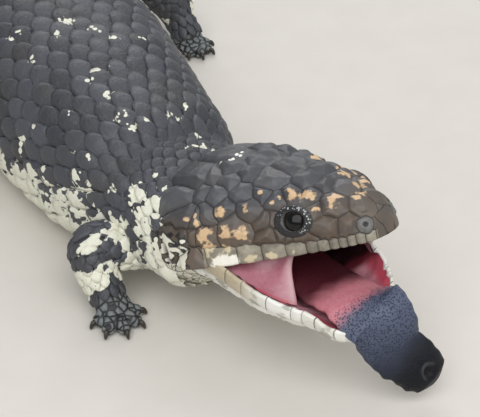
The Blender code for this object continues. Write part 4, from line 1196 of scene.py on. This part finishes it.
# The tongue: an oval along a path from the mouth's floor out over the lip, twisted about its own length,
# grooved along its top and rolled at its tip.
def makeTongue(material):
    f = tongueForm
    inside = [fromHead(opened(np.array([-t, 0.0, z]))) for t, z in f["inside"]]
    path, share = smoothPath(inside + [np.array(p) for p in f["outside"]], 190)
    width = curveAt(share, f["share"], f["half"])
    height = curveAt(share, f["share"], f["thick"]) / 2
    end = np.sqrt(np.clip(np.minimum(share, 1 - share) / f["rounding"], 0, 1))
    width, height = width * (0.04 + 0.96 * end), height * (0.04 + 0.96 * end)
    sides = f["sides"]
    twist = np.radians(curveAt(share, f["twistAt"], f["twist"]))
    grid, side, up = tubeGrid(path, width, height, axes[:, 1], sides, twist)
    angle = np.arange(sides) * 2 * np.pi / sides
    groove = np.exp(-(np.cos(angle) / f["grooveWidth"]) ** 2) * (np.sin(angle) > 0)
    sag = -f["grooveDepth"] * groove[None] * (0.3 + 0.7 * ease((share - 0.3) / 0.4))[:, None]
    rim = f["ripple"] * waves(grid, 5.0, 61) * np.abs(np.cos(angle))[None] ** 4
    ends = (ease((1 - share) / 0.08) * ease(share / 0.08))[:, None]
    grid = grid + (sag * ends)[..., None] * up[:, None]
    grid = grid + (rim * ends * np.sign(np.cos(angle))[None])[..., None] * side[:, None]
    # the curled tip: a ridge on one side of a dimple
    flat = grid.reshape(-1, 3)
    x, y, depth = toPixels(flat)
    depth = np.where(np.hypot(x - f["curlPixel"][0], y - f["curlPixel"][1]) < 3, depth, depth.max() + 1)
    gone = grid - flat[np.argmin(depth)]
    away = lengths(gone)
    rolled = ease((gone @ unit(np.array(f["curlWay"])) / np.maximum(away, 0.1) + 0.35) / 0.7)
    ridge = np.exp(-((away - f["curlRadius"] + 0.5 * rolled) / 0.38) ** 2) * rolled
    fold = f["curlRidge"] * ridge - f["curlDimple"] * np.exp(-(away / 1.7) ** 2)
    grid = grid + fold[..., None] * unit(grid - path[:, None])
    points, faces, fans = closedTube(grid, (path[0], path[-1]))
    blue = np.repeat(share, sides) + 0.006 * waves(grid.reshape(-1, 3), 6.0, 62)
    attributes = {"share": np.append(blue, [0.0, 1.0]),
                  # painted shade in the dimple of the curled tip
                  "dimpleShade": np.append(np.exp(-(away / 2.0) ** 2), [0.0, 0.0]),
                  # painted highlight along the curl's rolled ridge
                  "ridge": np.append(ridge, [0.0, 0.0])}
    tongue = makeMesh("tongue_skin", points, faces, material, attributes, ends=fans)
    print("tongue made")
    return tongue


def tongueMaterial():
    p = Paint("tongue")
    share, dimpleShade, ridge = p.attributes("share", "dimpleShade", "ridge")
    fine = p.noise(900.0, 3.0, 0.6)
    broad = p.noise(160.0, 3.0, 0.6)
    dots = p.cells(1700.0)
    dot = 1.0 - dots.step(0.34, 0.50)
    pink = p.mix(fine, (0.46, 0.11, 0.15), (0.60, 0.27, 0.30))
    # painted shade: the tongue's root, deep in the mouth, turns dark red-black
    pink = p.mix(share.step(0.34, 0.45), (0.06, 0.010, 0.015), pink)
    blue = p.layers((0.056, 0.070, 0.122),
                    (broad, (0.120, 0.140, 0.205)),
                    (share.step(0.62, 0.88), (0.002, 0.003, 0.006)),
                    (dot * 0.7 * (1.0 - share.step(0.72, 0.9)), (0.010, 0.014, 0.034)),
                    # painted highlight along the curl's rolled ridge
                    (ridge * 0.4, (0.12, 0.125, 0.14)),
                    # painted shade in the dimple of the curled tip
                    (dimpleShade * 0.9, (0.003, 0.003, 0.005)))
    turn = (share + (fine - 0.5) * 0.03 + dot * 0.025).step(0.51, 0.57)
    colour = p.mix(turn, pink, blue)
    height = dots.step(0.1, 0.5) * 0.7 + fine * 0.3
    return p.set(Base_Color=colour, Roughness=0.36 + fine * 0.15, Specular_IOR_Level=0.28,
                 Normal=p.bump(height, 0.45, 0.0003))


# Eyeballs: spheres turned about the eye's axis, with a slight bulge at the front.
def makeEyes(material):
    rings, sides = 60, 96
    for side, which in ((-1, "right"), (1, "left")):
        centre, away, first, second = eyeFrame(side)
        tilt = np.linspace(0.03, np.pi - 0.03, rings)[:, None]
        turn = np.linspace(0, 2 * np.pi, sides, endpoint=False)[None]
        radius = eyeForm["radius"] + 0.25 * np.exp(-(tilt / 0.5) ** 2)
        points = centre + (radius * np.cos(tilt))[..., None] * away
        points = points + (radius * np.sin(tilt) * np.cos(turn))[..., None] * first
        points = points + (radius * np.sin(tilt) * np.sin(turn))[..., None] * second * side
        points, faces, fans = closedTube(points, (centre + away * radius[0], centre - away * radius[-1]))
        ring = {"ring": np.append(np.repeat(tilt[:, 0], sides), [0.0, np.pi])}
        eye = makeMesh("eyeball_" + which, points, faces, material, ring, ends=fans)
        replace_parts(eye, "eye_" + which)
    print("eyes made")


def eyeMaterial():
    p = Paint("eye")
    ring = p.attribute("ring")
    fine = p.noise(1800.0, 3.0)
    colour = p.mix(ring.step(0.50, 0.60) * fine, (0.003, 0.003, 0.003), (0.014, 0.011, 0.009))
    return p.set(Base_Color=colour, Roughness=0.16, Specular_IOR_Level=0.25, Coat_Weight=0.12,
                 Coat_Roughness=0.03)


limbForm = {  # joints: distance along the spine, out to the left, height, from the root to the toes' root
    "foreleg_right": ([(14, -14, 15), (20, -33, 18), (13.3, -34.2, 7.5), (9.6, -34.3, 3.2)], "fore", 0),
    "foreleg_left": ([(14, 14, 15), (24, 34, 17), (14, 42, 7.5), (9.6, 45, 3.2)], "fore", 20),
    "hindleg_right": ([(166, -18, 18), (146, -54, 20), (141, -60, 8), (135, -62, 3.2)], "hind", -10),
    "hindleg_left": ([(168, 17, 18), (148, 56, 22), (142.5, 60.5, 8), (136.5, 61.5, 3.2)], "hind", 4),
}
limbKinds = {
    "fore": {"radii": [7.4, 6.8, 4.9], "toes": [(-76, 5.6), (-38, 7.4), (-3, 8.0), (32, 7.4), (70, 6.0)],
             "pitch": 4.3, "around": 11, "cream": 1.0},
    "hind": {"radii": [11.0, 8.0, 5.3], "toes": [(-64, 5.0), (-30, 7.2), (-2, 8.4), (26, 8.2), (62, 6.0)],
             "pitch": 4.8, "around": 13, "cream": -0.15},
    "toeRadius": 2.2, "clawLength": 1.7, "voxel": 0.38, "smoothing": 6,
    "lift": 0.55, "dome": 0.55, "overlap": 1.5, "first": 2.0, "past": 3.5,  # rows run past the ankle
    "bend": 19, "seed": 33,  # bend: samples that round off a knee
}


# A leg's skin: t in millimetres from the root, angle round it, from 0 at the front.
class LimbSkin:
    def __init__(self, joints, radii, heading):
        joints = [besideSpine(*joint) for joint in joints]
        path, share = smoothPath(joints, 120)
        count = limbKinds["bend"]
        padded = np.vstack([2 * path[0] - path[count:0:-1], path, 2 * path[-1] - path[-2:-count - 2:-1]])
        box = np.ones(2 * count + 1) / (2 * count + 1)
        self.path = np.stack([np.convolve(padded[:, k], box, "valid") for k in range(3)], 1)
        self.at = wayAlong(self.path)
        self.knee, self.ankle = [int(np.argmin(lengths(self.path - joints[k]))) for k in (1, 2)]
        self.radius = curveAt(share, [0, share[self.knee], share[self.ankle]], radii)
        aimed = np.radians(heading)
        self.ahead = np.array([np.sin(aimed), -np.cos(aimed), 0.0])
        along = unit(np.gradient(self.path, axis=0))
        self.front = unit(self.ahead - along * (along @ self.ahead)[:, None])
        self.top = np.cross(self.front, along)

    def __call__(self, t, angle, lift=0.0):
        path, front, top = [readRows(t, self.at, table) for table in (self.path, self.front, self.top)]
        radius = (np.interp(t, self.at, self.radius) + lift)[..., None]
        points = path + radius * (np.cos(angle)[..., None] * front + np.sin(angle)[..., None] * top)
        points[..., 2] = np.maximum(points[..., 2], 0.0)
        return points


# Closed tubes joined into one smooth skin by a voxel remesh.
def meltedSkin(name, tubes, material):
    points, polygons = [], []
    count = 0
    for grid in tubes:
        tube, faces, fans = closedTube(grid)
        points.append(tube)
        polygons += (faces[:, ::-1] + count).tolist() + (fans[:, ::-1] + count).tolist()
        count += len(tube)
    mesh = bpy.data.meshes.new(name)
    mesh.from_pydata(toScene(np.concatenate(points)).tolist(), [], polygons)
    obj = linked(name, mesh)
    remesh = obj.modifiers.new("melt", "REMESH")
    remesh.mode, remesh.voxel_size, remesh.use_smooth_shade = "VOXEL", limbKinds["voxel"] * mm, True
    even = obj.modifiers.new("even", "SMOOTH")
    even.factor, even.iterations = 0.5, limbKinds["smoothing"]
    graph = bpy.context.evaluated_depsgraph_get()
    made = bpy.data.meshes.new_from_object(obj.evaluated_get(graph))
    obj.modifiers.clear()
    obj.data = made
    bpy.data.meshes.remove(mesh)
    made.name = name
    flat = np.empty(len(made.vertices) * 3, np.float32)
    made.vertices.foreach_get("co", flat)
    places = (flat.reshape(-1, 3) - shift) / mm
    pale = -0.55 + 0.5 * waves(places, 7.0, 73) + 0.25 * waves(places, 2.5, 74)
    layer = made.attributes.new("pale", "FLOAT", "POINT")
    layer.data.foreach_set("value", pale.astype(np.float32))
    made.materials.clear()
    made.materials.append(material)
    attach(obj, "root")
    return obj


# An oval tube through a few spots, rounded at its ends and kept above the floor.
def tubeAlong(spots, widths, heights, left):
    path, share = smoothPath(spots, 20)
    at = np.linspace(0, 1, len(widths))
    wide, high = curveAt(share, at, widths), curveAt(share, at, heights)
    close = np.sqrt(np.clip(np.minimum(share, 1 - share) / 0.06, 0.02, 1))
    grid = tubeGrid(path, wide * close, high * close, left, 24)[0]
    grid[..., 2] = np.maximum(grid[..., 2], 0.0)
    return grid


# Points on the way from a root along a direction, at shares of a reach, each with its own height.
def spotsAlong(root, reach, shares, heights):
    return [np.array([*(root + reach * share)[:2], z]) for share, z in zip(shares, heights)]


# A leg's coat: rows from the root to past the ankle, closer round the knee.
def makeLeg(name, skin, f, hide, draw):
    k = limbKinds
    reach, knee = skin.at[skin.ankle], skin.at[skin.knee]
    rows, at = [], k["first"]
    while at < reach + k["past"]:
        count = int(round(f["around"] * (1 - 0.15 * min(at / reach, 1.0))))
        rows.append((at, f["pitch"] * k["overlap"], k["lift"], k["dome"], count, coatRows["widen"]))
        at += f["pitch"] * 0.92 / (1 + 1.2 * np.exp(-((at - knee) / 6.0) ** 2))  # closer rows round the knee
    scales = scaleRows(skin, rows, draw, 0.0)

    def cream(points, at):
        patchy = f["cream"] + 0.9 * waves(points, 9.0, 71) + 0.5 * waves(points, 4.0, 72)
        return patchy - 0.9 * ease((at - reach + 4) / 6) - 1.1 * np.exp(-((at - knee) / 4.5) ** 2)

    coat = makeCoat(name + "_scales", skin, scales, hide, cream, 60.0, draw)
    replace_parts(coat, name)


# The foot: the ankle, the sole and five toes melted together, and the claws.
def makeFoot(name, skin, f, footMaterial, clawMaterial):
    path, ahead, radius = skin.path[skin.ankle:], skin.ahead, f["radii"][-1]
    sole = path[-1]
    across = np.cross(ahead, (0, 0, 1))
    back = skin.path[skin.ankle - 12]
    tubes = [tubeAlong([back, path[0], path[0] * 0.4 + sole * 0.6, sole, sole + ahead * 3.4],
                       [radius * 0.9, radius * 0.96, radius * 1.02, radius * 1.12, radius * 0.9],
                       [radius * 0.9, radius * 0.95, radius * 0.8, 3.5, 2.6], across)]
    claws, faces, ends = [], [], []
    for angle, length in f["toes"]:
        turn = np.radians(angle)
        way = ahead * np.cos(turn) - across * np.sin(turn)
        sideways = np.cross(way, (0, 0, 1))
        tip = sole + way * (length + 1.7)
        shares, heights = (0, 0.35, 0.6, 0.85, 1.0), (2.8, 2.6, 2.2, 1.8, 1.55)
        spots = spotsAlong(sole + way, way * (length + 0.7), shares, heights)
        sizes = [limbKinds["toeRadius"] * share for share in (1.1, 0.98, 1.0, 0.92, 0.8)]
        tubes.append(tubeAlong(spots, sizes, sizes, sideways))
        spots = spotsAlong(tip, way * limbKinds["clawLength"], (-0.3, 0.2, 0.6, 0.98), (1.9, 2.1, 1.5, 0.3))
        bend, share = smoothPath(spots, 16)
        thin = curveAt(share, [0, 0.5, 0.85, 1.0], [1.05, 0.85, 0.5, 0.06])
        grid = tubeGrid(bend, thin * 0.8, thin, sideways, 16)[0]
        grid[..., 2] = np.maximum(grid[..., 2], 0.05)
        claw, clawFaces, fans = closedTube(grid)
        faces.append(clawFaces + len(claws) * len(claw))
        ends.append(fans + len(claws) * len(claw))
        claws.append(claw)
    foot = meltedSkin(name + "_skin", tubes, footMaterial)
    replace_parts(foot, name)
    claws, faces, ends = np.concatenate(claws), np.concatenate(faces), np.concatenate(ends)
    makeMesh(name + "_claws", claws, faces, clawMaterial, ends=ends)


def footMaterial():
    p = Paint("foot skin")
    pale = p.attribute("pale")
    fine = p.noise(1000.0, 4.0, 0.65)
    cell = p.cells(440.0, feature="DISTANCE_TO_EDGE")
    seam = 1.0 - cell.step(0.03, 0.20)
    colour = p.layers((0.11, 0.122, 0.124),
                      (fine, (0.24, 0.26, 0.26)),
                      ((pale + (fine - 0.5)).step(0.2, 0.6), (0.46, 0.49, 0.46)),
                      (seam, (0.012, 0.012, 0.014)))
    height = cell.step(0.0, 0.35) + fine * 0.25
    return p.set(Base_Color=colour, Roughness=0.42 + fine * 0.2, Normal=p.bump(height, 0.8, 0.0005))


def clawMaterial():
    p = Paint("dark horn")
    streak = p.noise(500.0, 3.0)
    colour = p.mix(streak, (0.012, 0.011, 0.010), (0.06, 0.05, 0.04))
    return p.set(Base_Color=colour, Roughness=0.25 + streak * 0.15)


underskin = {
    "from": -8, "to": 249.5, "rows": 230, "sides": 120, "dome": 12,  # the dome at its front is so long
    "bodySunk": -0.7, "legSunk": -0.5,
}


# Dark skins under the scales: the body's, and an open sleeve in each leg.
def makeUnderskins(material):
    f = underskin
    s, sides = np.linspace(f["from"], f["to"], f["rows"]), f["sides"]
    at, angle = flatGrid(s, np.linspace(0, 2 * np.pi, sides, endpoint=False))
    grid = bodySkin(at, angle, f["bodySunk"]) - skinNormal(bodySkin, at, angle, lift=f["bodySunk"]) * 0.1
    middle = grid.reshape(len(s), sides, 3).mean(1).repeat(sides, 0)
    grid = middle + (grid - middle) * (0.3 + 0.7 * ease((at - f["from"]) / f["dome"]))[:, None]
    pale = {"pale": np.append(paleness(grid, at), [-1.0, -1.0])}
    points, faces, fans = closedTube(grid.reshape(len(s), sides, 3))
    makeMesh("body_underskin", points, faces, material, pale, ends=fans)
    for name, (joints, kind, heading) in limbForm.items():
        skin = LimbSkin(joints, limbKinds[kind]["radii"], heading)
        around = np.linspace(0, 2 * np.pi, 40, endpoint=False)
        grid = skin(*flatGrid(np.linspace(0, skin.at[skin.ankle], 60), around), f["legSunk"])
        faces = gridFaces(60, 40, wrapped=True, flipped=True)
        makeMesh(name + "_underskin", grid, faces, material, {"pale": np.full(len(grid), -1.0)})


floorForm = {"half": 1500, "height": -0.05}


def makeFloor():
    x, y = flatGrid(*[np.linspace(-1, 1, 9) * floorForm["half"]] * 2)
    points = np.stack([x, y, np.full(x.size, floorForm["height"])], 1)
    p = Paint("pale floor")
    grain = p.noise(60.0, 3.0)
    p.set(Base_Color=p.mix(grain, (0.62, 0.59, 0.54), (0.68, 0.65, 0.60)), Roughness=0.85)
    mesh = bpy.data.meshes.new("floor")
    mesh.from_pydata((points * mm).tolist(), [], gridFaces(9, 9).tolist())
    mesh.materials.append(p.material)
    linked("floor", mesh)


lights = {  # place in millimetres from the snout, size in metres, watts
    "key": ((-350, -500, 900), 1.3, 12.5),
    "fill": ((700, -300, 500), 1.2, 2.6),
    "back": ((300, 900, 700), 0.8, 5.0),
}


def makeLights():
    for name, (offset, size, power) in lights.items():
        data = bpy.data.lights.new(name, "AREA")
        data.size, data.energy = size, power
        place = toScene(np.array(offset, float))
        back = unit(place - toScene(np.array([0.0, 60.0, 20.0])))
        right = unit(np.cross([0, 0, 1], back))
        aim(linked(name, data), place, right, np.cross(back, right), back)
    world = bpy.data.worlds.new("studio")
    world.use_nodes = True
    background = world.node_tree.nodes["Background"]
    background.inputs["Color"].default_value = (0.93, 0.96, 1.0, 1.0)
    background.inputs["Strength"].default_value = 0.30
    bpy.context.scene.world = world
    bpy.context.scene.view_settings.view_transform = "Standard"
    print("lights made")


def main():
    makeCamera()
    makeFloor()
    makeLights()
    hide = hideMaterial()
    coat = makeBodyCoat(hide)
    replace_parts(coat, "neck", "torso", "tail")
    head = makeHead(shieldMaterial())
    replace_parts(head, "head")
    jaw = makeJaw(jawMaterial())
    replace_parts(jaw, "lower_jaw")
    makeThroat(throatMaterial())
    mucosa = mucosaMaterial()
    makeMouthLining(mucosa)
    makeCheeks(mucosa)
    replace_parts(makeTongue(tongueMaterial()), "tongue")
    makeEyes(eyeMaterial())
    makeUnderskins(underskinMaterial())
    foot, claw = footMaterial(), clawMaterial()
    draw = np.random.default_rng(limbKinds["seed"])
    for name, (joints, kind, heading) in limbForm.items():
        form = limbKinds[kind]
        skin = LimbSkin(joints, form["radii"], heading)
        makeLeg(name, skin, form, hide, draw)
        makeFoot(name.replace("leg", "foot"), skin, form, foot, claw)
    print("limbs made")


main()
